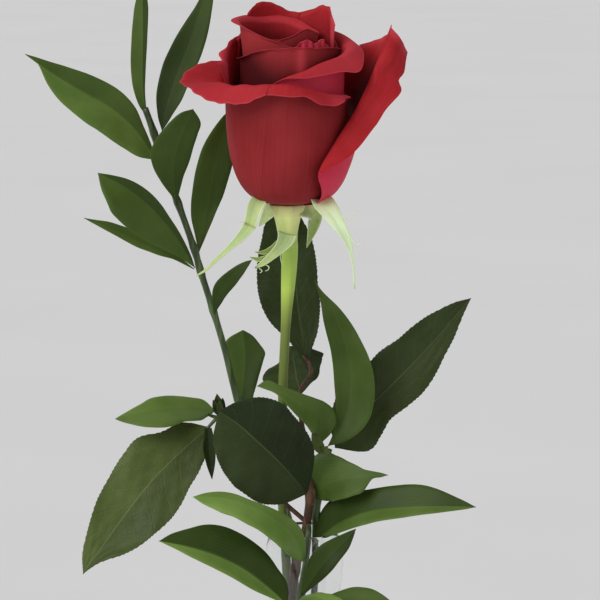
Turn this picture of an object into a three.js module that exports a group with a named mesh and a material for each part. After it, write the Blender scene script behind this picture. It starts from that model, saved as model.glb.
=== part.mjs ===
// A cut red rose with ruscus and salal greenery, standing in a clear glass bud vase.
// Millimetres, +Z up. The origin is the centre of the vase's foot; the rose faces -Y.
import * as THREE from 'three';
import { mergeVertices } from 'three/addons/utils/BufferGeometryUtils.js';

// ---- Driving dimensions ----

const VASE_FLOOR = 8.0;
const VASE_SEGMENTS = 28;

const BLOOM_PLACE = new THREE.Vector3(-5.4, 0, 313.3);
const BELLY_RADII = [19.7, 17.9, 16.1, 14.3, 12.4, 10.2, 7.7];
const PETAL_THICKNESS = 0.4;
const PETAL_LAP = 0.75;
const PETAL_COLUMNS = 8;
const PETAL_ROWS = 8;
const PETAL_FOOT_RADIUS = 4.6;
const FOOT_INSET = 0.22;
const FOOT_HEIGHT = 1.2;
const LAYER_RISE = 1.7;
const UNDERSIDE_REACH = 0.86;
const BELLY_SWELL = 1.07;
const BELLY_HEIGHT = 0.34;
const FOLD_ROW = 0.5;
const RIM_CORNER = 0.07;
const LEAST_LIP = 0.6;
const HEART_RIM_DIP = 2.5;

const LEAF_THICKNESS = 0.5;
const LEAF_TIP_HALF_WIDTH = 0.5;
const LEAF_STANDOFF = 1.7;
const LEAF_ROWS = 7;

const ROSE_STEM_RADIUS = 1.8;
const ROSE_NECK_RADIUS = 2.95;
const ROSE_NECK_FROM = 240;
const ROSE_NECK_TO = 300;
const RUSCUS_STEM_RADIUS = 1.05;
const SPRIG_STEM_RADIUS = 0.8;
const TWIG_RADIUS = 1.5;
const SIDE_TWIG_RADIUS = 1.0;

// ---- Materials ----

const finish = (color, roughness) => () =>
  new THREE.MeshStandardMaterial({ color, roughness, metalness: 0 });
const redPetal = finish(0xa8141c, 0.55);
const greenStem = finish(0x9fb552, 0.5);
const paleSepal = finish(0xc3d2a0, 0.6);
const ruscusGreen = finish(0x3f6f24, 0.4);
const salalGreen = finish(0x35502a, 0.5);
const brownTwig = finish(0x5d3a2a, 0.7);
const darkStem = finish(0x2e5a22, 0.5);
const clearGlass = finish(0xdfe9e8, 0.05);

// ---- Shared geometry ----

// The positions of a three.js geometry, with doubled vertices merged into one closed skin.
function closedSkin(geometry) {
  geometry.deleteAttribute('normal');
  geometry.deleteAttribute('uv');
  return mergeVertices(geometry, 1e-3);
}

// Moves every vertex of a geometry to where `place` sends it.
function reshape(geometry, place) {
  const position = geometry.getAttribute('position');
  for (let i = 0; i < position.count; i += 1) {
    const point = place(position.getX(i), position.getY(i), position.getZ(i));
    position.setXYZ(i, point.x, point.y, point.z);
  }
  return geometry;
}

// A thin closed sheet: a flat box bent onto surface(u, v), u from -1 to 1 across and v from 0 to 1 along.
function sheet(surface, columns, rows, thickness) {
  const box = closedSkin(new THREE.BoxGeometry(2, 1, 1, columns, rows, 1));
  const step = 1e-3;
  return reshape(box, (u, y, side) => {
    const v = y + 0.5;
    const across = surface(u + step, v).sub(surface(u - step, v));
    const along = surface(u, Math.min(v + step, 1)).sub(surface(u, Math.max(v - step, 0)));
    const normal = across.cross(along).normalize();
    return surface(u, v).addScaledVector(normal, side * thickness);
  });
}

// A smooth curve through values that stand at even spacing from u = -1 to u = 1.
function blend(stations, u) {
  const last = stations.length - 1;
  const along = THREE.MathUtils.clamp((u + 1) / 2, 0, 1) * last;
  const i = Math.min(Math.floor(along), last - 1);
  const f = along - i;
  const [b, c] = [stations[i], stations[i + 1]];
  const a = stations[Math.max(i - 1, 0)];
  const d = stations[Math.min(i + 2, last)];
  return b + 0.5 * f * (c - a + f * (2 * a - 5 * b + 4 * c - d + f * (3 * (b - c) + d - a)));
}

function mesh(name, geometry, material) {
  const solid = new THREE.Mesh(geometry, material);
  solid.name = name;
  return solid;
}

const points = (list) => list.map(([x, y, z]) => new THREE.Vector3(x, y, z));

// ---- Vase ----

// The wall's outside from the foot up, and its inside from the lip down, as radius and height.
const VASE_OUTSIDE = [
  [23, 0], [26.2, 1.6], [28.6, 8], [29.5, 20], [28.2, 34], [23.6, 52], [17, 74], [12.4, 98],
  [10.4, 125], [10.1, 150], [11.2, 170], [13.0, 182], [13.6, 189], [12.9, 195.5], [11.5, 199.6],
];
const VASE_INSIDE = [
  [9.6, 199.8], [10.9, 195.2], [11.6, 189], [11.0, 182], [9.2, 170.5], [8.1, 150], [8.4, 125.5],
  [10.3, 98.6], [14.8, 75], [21.2, 53], [25.6, 34.6], [26.8, 20.5], [25.2, 13], [19, 9.2],
];

function vase() {
  const profile = [[0, 0], ...VASE_OUTSIDE, [10.5, 200.5], ...VASE_INSIDE, [0, VASE_FLOOR]];
  const outline = profile.map(([radius, height]) => new THREE.Vector2(radius, height));
  const turned = new THREE.LatheGeometry(outline, VASE_SEGMENTS);
  turned.rotateX(Math.PI / 2);
  return mesh('vase', closedSkin(turned), clearGlass());
}

// ---- Stems ----

// A round stem of one radius along its path.
function evenStem(name, path, radius, steps, material) {
  const section = new THREE.Shape().absarc(0, 0, radius, 0, 2 * Math.PI);
  const curve = new THREE.CatmullRomCurve3(points(path));
  const options = { extrudePath: curve, steps, curveSegments: 3 };
  return mesh(name, closedSkin(new THREE.ExtrudeGeometry(section, options)), material);
}

// A round stem whose radius follows its height: a straight cylinder bent along the path.
function taperedStem(name, path, radiusAt, steps, material) {
  const sides = 8;
  const curve = new THREE.CatmullRomCurve3(points(path));
  const rod = closedSkin(new THREE.CylinderGeometry(1, 1, 1, sides, steps));
  const bent = reshape(rod, (x, y, z) => {
    const centre = curve.getPointAt(THREE.MathUtils.clamp(y + 0.5, 0, 1));
    const radius = radiusAt(centre.z);
    return new THREE.Vector3(centre.x + radius * x, centre.y - radius * z, centre.z);
  });
  return mesh(name, bent, material);
}

const ROSE_STEM_PATH = [
  [-9, 3, 10.2], [-7.6, 2.5, 60], [-5.7, 1.6, 105], [-4.7, 1.2, 135], [-4.8, 1, 160], [-5.8, 0.6, 182],
  [-6.8, 0.3, 200], [-7.5, 0, 212], [-7.5, 0, 230], [-7.2, 0, 251.5], [-6.1, 0, 275], [-5.1, 0, 298.5],
];
const TALL_STEM_PATH = [
  [-4, 10, 9.6], [-3, 8.5, 60], [-2, 6.3, 105], [-1.6, 5.6, 135], [-1.8, 5.8, 160], [-3.1, 6.3, 182],
  [-4.5, 6, 200], [-9, 8, 213], [-14.5, 10, 226], [-22.9, 12, 243.7], [-27.3, 13, 260.9],
  [-31.4, 14, 275], [-35.6, 14, 288.5], [-37.8, 14, 296.5], [-43.2, 13, 312.5], [-49, 11.5, 329],
  [-51, 11, 336.5], [-54, 10, 345.4],
];
const SHORT_STEM_PATH = [
  [-1.5, -11, 10.1], [-1, -9.5, 50], [-0.2, -6.8, 98], [0.4, -6, 130], [0.7, -5.6, 155],
  [3.4, -4, 178], [3.9, -2.4, 200], [4.2, -2.6, 206], [5, -3.4, 213], [6.6, -4, 222.6], [8.6, -4, 230],
];
const SPRIG_STEM_PATH = [
  [-0.6, -7.4, 176], [0.6, -7.8, 190], [1.6, -8.2, 199], [1.7, -11.4, 204.8], [1.3, -15.8, 202.4],
  [0.5, -18.8, 195], [-0.9, -20.6, 187], [-2.1, -21.6, 180],
];
const TWIG_PATH = [
  [-7, -7, 10], [-5.6, -6.6, 60], [-4.3, -5.3, 108], [-3.5, -4.5, 135], [-3.5, -4.4, 155],
  [-4, -4, 176.5], [-3.2, -4.2, 187], [0.2, -4.4, 200], [1.4, -6.6, 208], [2.1, -7.6, 215],
  [1.4, -3, 222], [0.2, 3, 231], [-1.7, 7.5, 246.3], [2.4, 11, 253.9], [-0.3, 12, 259.5],
];
const SIDE_TWIG_PATH = [
  [-1.9, -5, 204.8], [-8.5, -6, 212], [-18, -2, 225], [-25.5, 2.5, 235], [-28.4, 4, 241.5],
];

function roseStemRadius(height) {
  const swell = THREE.MathUtils.smoothstep(height, ROSE_NECK_FROM, ROSE_NECK_TO);
  return THREE.MathUtils.lerp(ROSE_STEM_RADIUS, ROSE_NECK_RADIUS, swell);
}

function stems() {
  return [
    taperedStem('rose_stem', ROSE_STEM_PATH, roseStemRadius, 26, greenStem()),
    evenStem('tall_stem', TALL_STEM_PATH, RUSCUS_STEM_RADIUS, 32, darkStem()),
    evenStem('short_stem', SHORT_STEM_PATH, RUSCUS_STEM_RADIUS, 22, darkStem()),
    evenStem('sprig_stem', SPRIG_STEM_PATH, SPRIG_STEM_RADIUS, 14, darkStem()),
    evenStem('salal_twig', TWIG_PATH, TWIG_RADIUS, 28, brownTwig()),
    evenStem('salal_side_twig', SIDE_TWIG_PATH, SIDE_TWIG_RADIUS, 10, brownTwig()),
  ];
}

// ---- Leaves and sepals ----

// Half width along a blade as a share of its widest: v^rise * (1 - v)^fall, scaled to peak at 1.
function bladeOutline([rise, fall]) {
  const widest = rise / (rise + fall);
  const peak = widest ** rise * (1 - widest) ** fall;
  return (v) => (v ** rise * (1 - v) ** fall) / peak;
}

// A blade follows its midrib, a Bezier with 3 or 4 control points. Its halves fold up from the midrib
// by `fold` degrees; `faces` are the upper side's direction at the base and at the tip.
function bladeSurface({ rib, half, faces, outline, fold = 12 }) {
  const ends = points(rib);
  const midrib = ends.length === 4
    ? new THREE.CubicBezierCurve3(...ends)
    : new THREE.QuadraticBezierCurve3(...ends);
  const width = bladeOutline(outline);
  const [lower, upper] = points([faces[0], faces[faces.length - 1]]);
  const lift = Math.sin(THREE.MathUtils.degToRad(fold));
  return (u, v) => {
    const tangent = midrib.getTangent(v);
    const face = lower.clone().lerp(upper, v);
    const across = tangent.clone().cross(face).normalize();
    const up = across.clone().cross(tangent);
    const reach = Math.max(half * width(v), LEAF_TIP_HALF_WIDTH) * u;
    return midrib.getPoint(v)
      .addScaledVector(across, reach)
      .addScaledVector(up, Math.abs(reach) * lift);
  };
}

// The rib with its first point moved off the stem it grows from, towards the next point.
function clearOfStem(rib, distance) {
  const [base, next] = points(rib.slice(0, 2));
  const start = base.clone().addScaledVector(next.clone().sub(base).normalize(), distance);
  return [start.toArray(), ...rib.slice(1)];
}

function leaf(spec, material) {
  const blade = { ...spec, rib: clearOfStem(spec.rib, spec.standoff ?? LEAF_STANDOFF) };
  const solid = sheet(bladeSurface(blade), 4, LEAF_ROWS, LEAF_THICKNESS);
  return mesh(spec.name, solid, material);
}

const RUSCUS_OUTLINE = [0.62, 0.85];
const SALAL_OUTLINE = [0.5, 0.68];
const SEPAL_OUTLINE = [0.12, 0.9];

const TALL_LEAVES = [
  { rib: [[-54, 10, 346], [-57.5, 10, 368], [-55, 10, 393]], half: 7, faces: [[-0.75, -0.66, 0]] },
  { rib: [[-50, 12.6, 337], [-46, 20, 362], [-29, 20, 391]], half: 7.5, faces: [[-0.35, -0.93, 0.1]] },
  { rib: [[-49.3, 9.7, 329], [-68, 2, 354], [-92.7, -3, 364]], half: 8, faces: [[-0.25, -0.75, 0.6]] },
  { rib: [[-43, 11, 313], [-48, 1, 329], [-36, -2, 345]], half: 8.5, faces: [[0, -1, 0.15]] },
  { rib: [[-36.6, 15.8, 297], [-34, 20, 322], [-24.3, 20, 342]], half: 7.5, faces: [[0.2, -0.97, 0]] },
  { rib: [[-37.2, 12, 293], [-50, 3, 313], [-68.3, -1, 323]], half: 7.5, faces: [[-0.2, -0.8, 0.55]] },
  { rib: [[-36.6, 15, 289], [-53, 18, 301], [-74.2, 16, 306]], half: 6, faces: [[-0.3, -0.45, 0.85]] },
  { rib: [[-30.8, 12.4, 275.5], [-27, 6, 289], [-17.7, 3, 292.4]], half: 4.5, faces: [[0.1, -0.8, 0.6]] },
  { rib: [[-22, 14, 246], [-18.5, 21, 257], [-21, 23, 269]], half: 7, faces: [[0, -1, 0]] },
  { rib: [[-23.6, 11, 243.4], [-46, 0, 251], [-63.6, -6, 241.6]], half: 6, faces: [[0, -0.45, 0.9]] },
];
const SHORT_LEAVES = [
  { rib: [[8.6, -3.6, 230.6], [3, -13, 250], [-15.9, -11, 254]], half: 6, faces: [[0.3, -0.6, 0.75]] },
  { rib: [[8.8, -3.2, 231], [20, 0, 256], [4.4, 3, 287]], half: 9, faces: [[-0.3, -0.95, 0]] },
  { rib: [[6.2, -4.6, 212.6], [10.5, -10, 235.5], [28.2, -15, 225]], half: 8, faces: [[0.3, -0.8, 0.5]] },
  { rib: [[4.6, -3.4, 204], [24, -20, 224], [57.5, -26, 215]], half: 8, faces: [[0, -0.55, 0.83]] },
];
const SPRIG_LEAVES = [
  { rib: [[0.5, -18.8, 194], [-9, -31, 213], [-38, -35, 216]], half: 7, faces: [[0, -0.6, 0.8]] },
  { rib: [[0.2, -20.8, 187], [11, -25, 191], [17, -20, 202]], half: 6, faces: [[-0.2, -0.85, 0.4]] },
  { rib: [[-2.1, -21.6, 181], [-20, -27, 206], [-48.4, -36, 207]], half: 8, faces: [[0, -0.6, 0.8]] },
  { rib: [[-1.6, -21.8, 180.4], [14, -28, 191], [32, -34, 184]], half: 7, faces: [[0, -0.6, 0.8]] },
  { rib: [[-2.3, -22.6, 179.4], [2, -37, 188], [10, -46, 178]], half: 6, faces: [[0, -0.4, 0.9]] },
];
const SALAL_LEAVES = [
  { rib: [[2, -8.6, 215.4], [-12, -23, 232], [-27, -27, 250]], half: 16, faces: [[0.25, -0.9, 0.35]] },
  { rib: [[-26.3, 1.8, 236], [-50, -10, 228], [-75.7, -14, 189.3]], half: 14.5, faces: [[-0.1, -0.93, 0.35]] },
  { rib: [[0.2, 3, 230], [33, 10, 244], [57.3, 14, 279]], half: 13.5, faces: [[0.45, -0.62, 0.64]] },
  { rib: [[-0.3, 12, 260], [-5, 16, 284], [-4.5, 20, 309]], half: 10.5, faces: [[0, -1, 0.1]] },
  { rib: [[-1.2, 9.6, 246.5], [-4, 20, 256], [-4, 24, 272]], half: 10, faces: [[0, -0.9, 0.4]] },
];

function leafRow(prefix, specs, outline, material) {
  return specs.map((spec, i) => leaf({ name: `${prefix}_${i + 1}`, outline, ...spec }, material()));
}

function greenery() {
  return [
    ...leafRow('tall_leaf', TALL_LEAVES, RUSCUS_OUTLINE, ruscusGreen),
    ...leafRow('short_leaf', SHORT_LEAVES, RUSCUS_OUTLINE, ruscusGreen),
    ...leafRow('sprig_leaf', SPRIG_LEAVES, RUSCUS_OUTLINE, ruscusGreen),
    ...leafRow('salal_leaf', SALAL_LEAVES, SALAL_OUTLINE, salalGreen),
  ];
}

// ---- Rose: hip and sepals, placed from the bloom's base ----

const HIP_PROFILE = [
  [0, -14.4], [2.9, -14.4], [3.2, -11.5], [4.2, -8.5], [5.4, -5.5], [6.3, -2.8], [6.4, -1], [5, -0.2],
  [3.2, 0.4], [2.6, 3], [0, 4.5],
];

function hip() {
  const outline = HIP_PROFILE.map(([radius, height]) => new THREE.Vector2(radius, height));
  const turned = new THREE.LatheGeometry(outline, 16);
  turned.rotateX(Math.PI / 2);
  return mesh('rose_hip', closedSkin(turned), greenStem());
}

const SEPALS = [
  { name: 'sepal_left', half: 3.2, faces: [[-0.4, -0.6, 0.6], [-0.5, -0.8, 0]],
    rib: [[-6.4, -3.4, -3.4], [-13, -8, -0.5], [-13.5, -11, -14], [-31, -9, -22.5]] },
  { name: 'sepal_front', half: 2.8, faces: [[0, -1, 0.2], [0, -1, 0]],
    rib: [[0.2, -7.1, -2.4], [0.7, -8.6, -8], [1, -9, -19], [-11.5, -14, -21]] },
  { name: 'sepal_right', half: 3.8, faces: [[0.4, -0.6, 0.6], [0.5, -0.8, 0]],
    rib: [[5.5, -5.3, -4.4], [12, -11, -1.6], [21, -13, -6], [22.4, -10, -28.6]] },
  { name: 'sepal_right_back', half: 2.4, faces: [[0.4, 0.3, 0.8], [0.6, -0.7, 0]],
    rib: [[5.0, 5.4, -3.4], [12, 11, -1], [9, 13, -8], [6, 12, -16]] },
  { name: 'sepal_left_back', half: 2.4, faces: [[-0.4, 0.3, 0.8], [-0.6, -0.7, 0]],
    rib: [[-4.8, 5.6, -3.4], [-11, 11, -1], [-10, 14, -5], [-8, 13, -12]] },
];

function sepals() {
  return SEPALS.map((spec) => leaf({ outline: SEPAL_OUTLINE, standoff: 0, fold: 14, ...spec }, paleSepal()));
}

// ---- Petals ----

// A cupped petal in the bloom's frame. At each bearing its section is a Bezier from the hip out along
// the underside and up the belly to the fold at (reach, height). Past the fold the lip turns outward
// through `turn` degrees on a bend of radius `bend`, and runs straight to its edge, `lip` mm from the
// fold. Each list holds values at five even stations from edge to edge, counterclockwise seen from
// above, and the petal's last edge laps outside its neighbour's first.
function cuppedPetal({ layer, azimuth, half, height, reach, lip, turn, bend }) {
  const belly = BELLY_RADII[layer];
  const footHeight = FOOT_HEIGHT + LAYER_RISE * layer;
  const foot = new THREE.Vector2(PETAL_FOOT_RADIUS - FOOT_INSET * layer, footHeight);
  const underside = new THREE.Vector2(UNDERSIDE_REACH * belly, footHeight);
  return (u, v) => {
    const bearing = THREE.MathUtils.degToRad(azimuth + half * u);
    const fold = new THREE.Vector2(blend(reach, u), blend(height, u) * (1 - RIM_CORNER * u ** 6));
    const side = new THREE.Vector2(BELLY_SWELL * belly, footHeight + BELLY_HEIGHT * fold.y);
    const section = new THREE.CubicBezierCurve(foot, underside, side, fold);
    const t = Math.min(v / FOLD_ROW, 1);
    const point = section.getPoint(t);
    const tangent = section.getTangent(t);
    const outward = new THREE.Vector2(tangent.y, -tangent.x);
    const past = Math.max((v - FOLD_ROW) / (1 - FOLD_ROW), 0) * Math.max(blend(lip, u), LEAST_LIP);
    const curl = blend(bend, u);
    const full = THREE.MathUtils.degToRad(blend(turn, u));
    const turned = Math.min(past / curl, full);
    const straight = past - turned * curl;
    point.addScaledVector(tangent, curl * Math.sin(turned) + straight * Math.cos(full));
    point.addScaledVector(outward, curl * (1 - Math.cos(turned)) + straight * Math.sin(full));
    point.addScaledVector(outward, PETAL_LAP * u);
    return new THREE.Vector3(point.x * Math.cos(bearing), point.x * Math.sin(bearing), point.y);
  };
}

const CUPPED_PETALS = [
  { name: 'petal_outer_left', layer: 0, azimuth: -155, half: 52, height: [42, 35.5, 36, 37, 38.5],
    reach: [20.8, 22, 21, 19.8, 19.4], lip: [9, 17, 14, 9.5, 2.5], turn: [50, 78, 115, 150, 110],
    bend: [5, 5, 4, 2.8, 2] },
  { name: 'petal_outer_front', layer: 0, azimuth: -58, half: 60, height: [36, 39.5, 38, 36, 34],
    reach: [19.4, 19.8, 20, 19.8, 19.8], lip: [0.6, 3.5, 8, 4.5, 0.6], turn: [0, 120, 130, 100, 20],
    bend: [1.6, 1.6, 2.2, 2.4, 2.2] },
  { name: 'petal_outer_right', layer: 0, azimuth: 36, half: 46, height: [30, 34, 37, 37, 32],
    reach: [19.4, 19.6, 19.8, 20, 20], lip: [0.6, 2.5, 3, 4, 1], turn: [0, 60, 80, 100, 90],
    bend: [2.4, 2.4, 2.4, 2.4, 2.4] },
  { name: 'petal_outer_back', layer: 0, azimuth: 118, half: 50, height: [34, 36, 37, 36, 35],
    reach: [19.6, 20.4, 21, 21, 20.6], lip: [0.6, 11, 14, 12, 5], turn: [0, 100, 120, 110, 80],
    bend: [3, 3.5, 3.5, 3.5, 3] },
  { name: 'petal_second_right', layer: 1, azimuth: -25, half: 80, height: [40, 44, 51, 54, 56],
    reach: [17.8, 18, 18.6, 18.6, 18.4], lip: [2.5, 5, 9, 6, 4], turn: [80, 110, 130, 110, 80],
    bend: [1.6, 2, 2.4, 2.4, 2.4] },
  { name: 'petal_second_back', layer: 1, azimuth: 94, half: 55, height: [53, 52, 52, 51, 50],
    reach: [17.8, 18, 18.4, 18.4, 18.4], lip: [0.6, 4, 8, 6, 3], turn: [0, 100, 120, 110, 80],
    bend: [2.2, 2.4, 2.4, 2.4, 2.2] },
  { name: 'petal_second_left', layer: 1, azimuth: 165, half: 42, height: [50, 54, 50, 47.5, 44],
    reach: [18, 18.8, 19.6, 19.6, 19], lip: [0.6, 4, 6, 4, 2.5], turn: [0, 60, 80, 75, 60],
    bend: [2.5, 2.5, 3, 3, 2.5] },
  { name: 'petal_third_front', layer: 2, azimuth: -92, half: 78, height: [47.5, 50.5, 52.5, 52.5, 50],
    reach: [16.6, 16.4, 16.2, 16, 15.9], lip: [2, 2.5, 1.6, 1.2, 2], turn: [80, 90, 60, 45, 60],
    bend: [1.5, 1.5, 1.5, 1.5, 1.5] },
  { name: 'petal_third_back', layer: 2, azimuth: 88, half: 84, height: [52, 56, 58, 58, 55],
    reach: [16.2, 16.4, 16.6, 16.4, 16.4], lip: [2, 4, 5, 4, 2], turn: [60, 80, 90, 80, 60],
    bend: [2, 2, 2, 2, 2] },
  { name: 'petal_folded', layer: 3, azimuth: -64, half: 24, height: [50, 53.5, 54.5, 54, 51],
    reach: [14.2, 14.2, 14.2, 14.2, 14.2], lip: [1.5, 2, 2, 2, 1.5], turn: [40, 60, 60, 60, 40],
    bend: [1.4, 1.4, 1.4, 1.4, 1.4] },
  { name: 'petal_back_left', layer: 3, azimuth: 122, half: 46, height: [66, 66.5, 67, 65, 60],
    reach: [14.8, 15.2, 15.8, 15.6, 15.2], lip: [0.6, 3, 3.5, 3, 2], turn: [0, 60, 70, 60, 50],
    bend: [2, 2, 2, 2, 2] },
  { name: 'petal_back_right', layer: 3, azimuth: 50, half: 44, height: [60, 66, 66.5, 66, 66.5],
    reach: [14.8, 15.2, 15.4, 15.4, 15.2], lip: [1.5, 2.5, 2.5, 2.5, 1.5], turn: [30, 45, 50, 50, 40],
    bend: [2, 2, 2, 2, 2] },
  { name: 'petal_inner_left', layer: 4, azimuth: -165, half: 74, height: [60, 61, 60.5, 60, 59],
    reach: [13.8, 15, 16.6, 14.2, 12.2], lip: [1.5, 2, 3, 1.5, 1], turn: [30, 50, 70, 40, 30],
    bend: [2, 2, 2, 2, 2] },
  { name: 'petal_inner_back', layer: 5, azimuth: 90, half: 62, height: [57, 60.5, 61.5, 61, 60],
    reach: [11.6, 12, 12.2, 12.2, 12], lip: [1, 1.5, 1.5, 1.5, 1], turn: [20, 30, 30, 30, 20],
    bend: [2, 2, 2, 2, 2] },
  { name: 'petal_inner_right', layer: 6, azimuth: -28, half: 82, height: [58.5, 60, 59.5, 58.5, 57.5],
    reach: [10, 10.2, 10.2, 9.8, 9.4], lip: [1, 1.2, 1.2, 1.2, 1], turn: [20, 25, 25, 25, 20],
    bend: [2, 2, 2, 2, 2] },
];

// A heart petal is a strip rolled round the bloom's axis. Its radius grows by `growth` along the roll,
// and with height it swells from its foot to its fullest past the middle.
function heartPetal({ start, sweep, inner, growth, low, high }) {
  return (u, v) => {
    const share = (u + 1) / 2;
    const bearing = THREE.MathUtils.degToRad(start + sweep * share);
    const fullness = 0.3 + 0.7 * Math.sin(Math.PI * (0.08 + 0.6 * v));
    const radius = (inner + growth * share) * fullness;
    const rise = low + (high - low - HEART_RIM_DIP * u * u) * v;
    return new THREE.Vector3(radius * Math.cos(bearing), radius * Math.sin(bearing), rise);
  };
}

const HEART_PETALS = [
  { name: 'petal_heart_outer', start: 150, sweep: 250, inner: 5.6, growth: 1.0, low: 15, high: 56 },
  { name: 'petal_heart_middle', start: 20, sweep: 260, inner: 3.7, growth: 1.0, low: 16, high: 55 },
  { name: 'petal_heart_core', start: -110, sweep: 280, inner: 1.8, growth: 0.9, low: 17, high: 54 },
];

// The peeled petal leans away from the bloom. Its spine runs out and up; ribs across the spine arch
// round it, and the front margin folds outward along a ridge into a flap. The ridge leads to the
// petal's point, and the ribs fall away from it by `droop` mm per mm. The lists stand at even stations
// from the base to the point, in mm and degrees.
const PEELED = {
  bearing: 4,
  spine: [[7.4, -0.8], [21, -2.4], [21, 22], [34.6, 61]],
  frontHalf: [4, 13, 18, 14, 10.5, 6],
  backHalf: [4, 10, 13, 15, 15, 14],
  archRadius: [60, 28, 23, 22, 18, 18],
  flap: [0.6, 0.6, 2, 10, 13.5, 11],
  flapTurn: [0, 0, 60, 120, 120, 110],
  droop: [0, 0, 0, 0.15, 0.35, 0.6],
  flapBend: 2.6,
  flapShare: 0.42,
};

function peeledPetal(spec) {
  const bearing = THREE.MathUtils.degToRad(spec.bearing);
  const outward = new THREE.Vector3(Math.cos(bearing), Math.sin(bearing), 0);
  const sideways = new THREE.Vector3(-Math.sin(bearing), Math.cos(bearing), 0);
  const [a, b, c, d] = spec.spine.map(([r, z]) => new THREE.Vector3().addScaledVector(outward, r).setZ(z));
  const spine = new THREE.CubicBezierCurve3(a, b, c, d);
  const ridge = 2 * spec.flapShare - 1;
  return (u, v) => {
    const station = 2 * v - 1;
    const tangent = spine.getTangent(v);
    const normal = sideways.clone().cross(tangent);
    const arch = blend(spec.archRadius, station);
    const front = blend(spec.frontHalf, station);
    const inBody = Math.max((u - ridge) / (1 - ridge), 0) * (front + blend(spec.backHalf, station));
    const past = Math.max((ridge - u) / (1 + ridge), 0) * Math.max(blend(spec.flap, station), LEAST_LIP);
    const full = THREE.MathUtils.degToRad(blend(spec.flapTurn, station));
    const turned = Math.min(past / spec.flapBend, full);
    const straight = past - turned * spec.flapBend;
    const angle = (inBody - front) / arch;
    const lean = front / arch;
    const side = arch * Math.sin(angle)
      - spec.flapBend * (Math.sin(lean) - Math.sin(lean - turned)) - straight * Math.cos(lean - full);
    const out = arch * (Math.cos(angle) - 1)
      + spec.flapBend * (Math.cos(lean) - Math.cos(lean - turned)) - straight * Math.sin(lean - full);
    const fall = blend(spec.droop, station) * (inBody + past);
    return spine.getPoint(v)
      .addScaledVector(tangent, -fall)
      .addScaledVector(sideways, side)
      .addScaledVector(normal, out);
  };
}

function petals() {
  const cupped = CUPPED_PETALS.map((spec) => [spec.name, cuppedPetal(spec)]);
  const hearts = HEART_PETALS.map((spec) => [spec.name, heartPetal(spec)]);
  const all = [...cupped, ...hearts, ['petal_peeled', peeledPetal(PEELED)]];
  return all.map(([name, surface]) => {
    const solid = sheet(surface, PETAL_COLUMNS, PETAL_ROWS, PETAL_THICKNESS);
    return mesh(name, solid, redPetal());
  });
}

// ---- Assembly ----

const bloom = new THREE.Group();
bloom.position.copy(BLOOM_PLACE);
bloom.add(hip(), ...sepals(), ...petals());

const group = new THREE.Group();
group.add(vase(), ...stems(), ...greenery(), bloom);

export default group;
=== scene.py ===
import math

import bpy
import numpy as np
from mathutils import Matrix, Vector


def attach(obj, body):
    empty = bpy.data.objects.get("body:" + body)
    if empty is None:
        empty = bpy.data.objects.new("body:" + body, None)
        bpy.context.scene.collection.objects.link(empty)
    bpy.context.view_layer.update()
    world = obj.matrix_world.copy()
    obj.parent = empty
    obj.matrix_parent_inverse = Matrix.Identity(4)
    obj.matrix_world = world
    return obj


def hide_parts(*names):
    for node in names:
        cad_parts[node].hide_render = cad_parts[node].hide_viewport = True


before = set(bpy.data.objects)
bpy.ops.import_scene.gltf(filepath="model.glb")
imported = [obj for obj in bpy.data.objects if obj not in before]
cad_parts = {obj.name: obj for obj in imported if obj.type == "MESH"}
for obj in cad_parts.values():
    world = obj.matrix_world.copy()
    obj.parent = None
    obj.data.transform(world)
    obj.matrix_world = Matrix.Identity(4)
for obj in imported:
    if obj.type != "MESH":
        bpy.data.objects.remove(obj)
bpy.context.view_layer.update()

# A cut red rose with ruscus and salal greenery, standing in a clear glass bud vase.
# Shapes are worked out in millimetres in the frame's own axes: +Z up, the rose facing -Y, the origin at
# the centre of the vase's foot. MM turns them into metres when a mesh is made.
MM = 0.001

# ---- Mesh making ----

RIM_ANGLE = 50.0  # degrees between two faces, past which a shell's rim stays crisp
RIM_THINNING = 0.65  # how much of its thickness a shell loses at its very rim
SIDE_RIM_POWER, TIP_RIM_POWER = 14, 24  # how close to the rim that starts, higher is closer
ROUTE_STEPS = 40  # steps between two knots when a path is measured
RIPPLE_SPREAD = 1.6  # brings a sum of ripples back to about 1
LEAST_LENGTH = 1e-9
THREAD_POINTS = 24


def add_object(name, data):
    """An object with this data, in the scene."""
    added = bpy.data.objects.new(name, data)
    bpy.context.scene.collection.objects.link(added)
    return added


def add_mesh(name, verts, faces, uv=None, attributes=None, crisp=False):
    """A smooth mesh object at the origin from vertices in mm and a list of equal-sided face arrays.

    A crisp one has hard edges wherever two faces meet at over RIM_ANGLE degrees.
    """
    mesh = bpy.data.meshes.new(name)
    corners = np.concatenate([f.ravel() for f in faces]).astype(np.int32)
    sides = np.concatenate([np.full(len(f), f.shape[1]) for f in faces])
    starts = np.concatenate([[0], np.cumsum(sides)[:-1]]).astype(np.int32)
    mesh.vertices.add(len(verts))
    mesh.vertices.foreach_set("co", (np.asarray(verts) * MM).astype(np.float32).ravel())
    mesh.loops.add(len(corners))
    mesh.polygons.add(len(sides))
    mesh.polygons.foreach_set("loop_start", starts)
    mesh.polygons.foreach_set("vertices", corners)
    mesh.polygons.foreach_set("use_smooth", np.ones(len(sides), bool))
    if uv is not None:
        layer = mesh.uv_layers.new(name="UVMap")
        layer.data.foreach_set("uv", uv[corners].astype(np.float32).ravel())
    for key, values in (attributes or {}).items():
        layer = mesh.attributes.new(key, "FLOAT", "POINT")
        layer.data.foreach_set("value", np.asarray(values, np.float32))
    mesh.update(calc_edges=True)
    mesh.validate()
    if crisp:
        mesh.set_sharp_from_angle(angle=math.radians(RIM_ANGLE))
    return add_object(name, mesh)


def finish_piece(piece, material, slot, *nodes):
    """Gives a piece its material and its body, and hides the CAD nodes it stands for; `slot` is not used."""
    piece.data.materials.append(material)
    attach(piece, "root")
    if nodes:
        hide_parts(*nodes)


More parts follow.
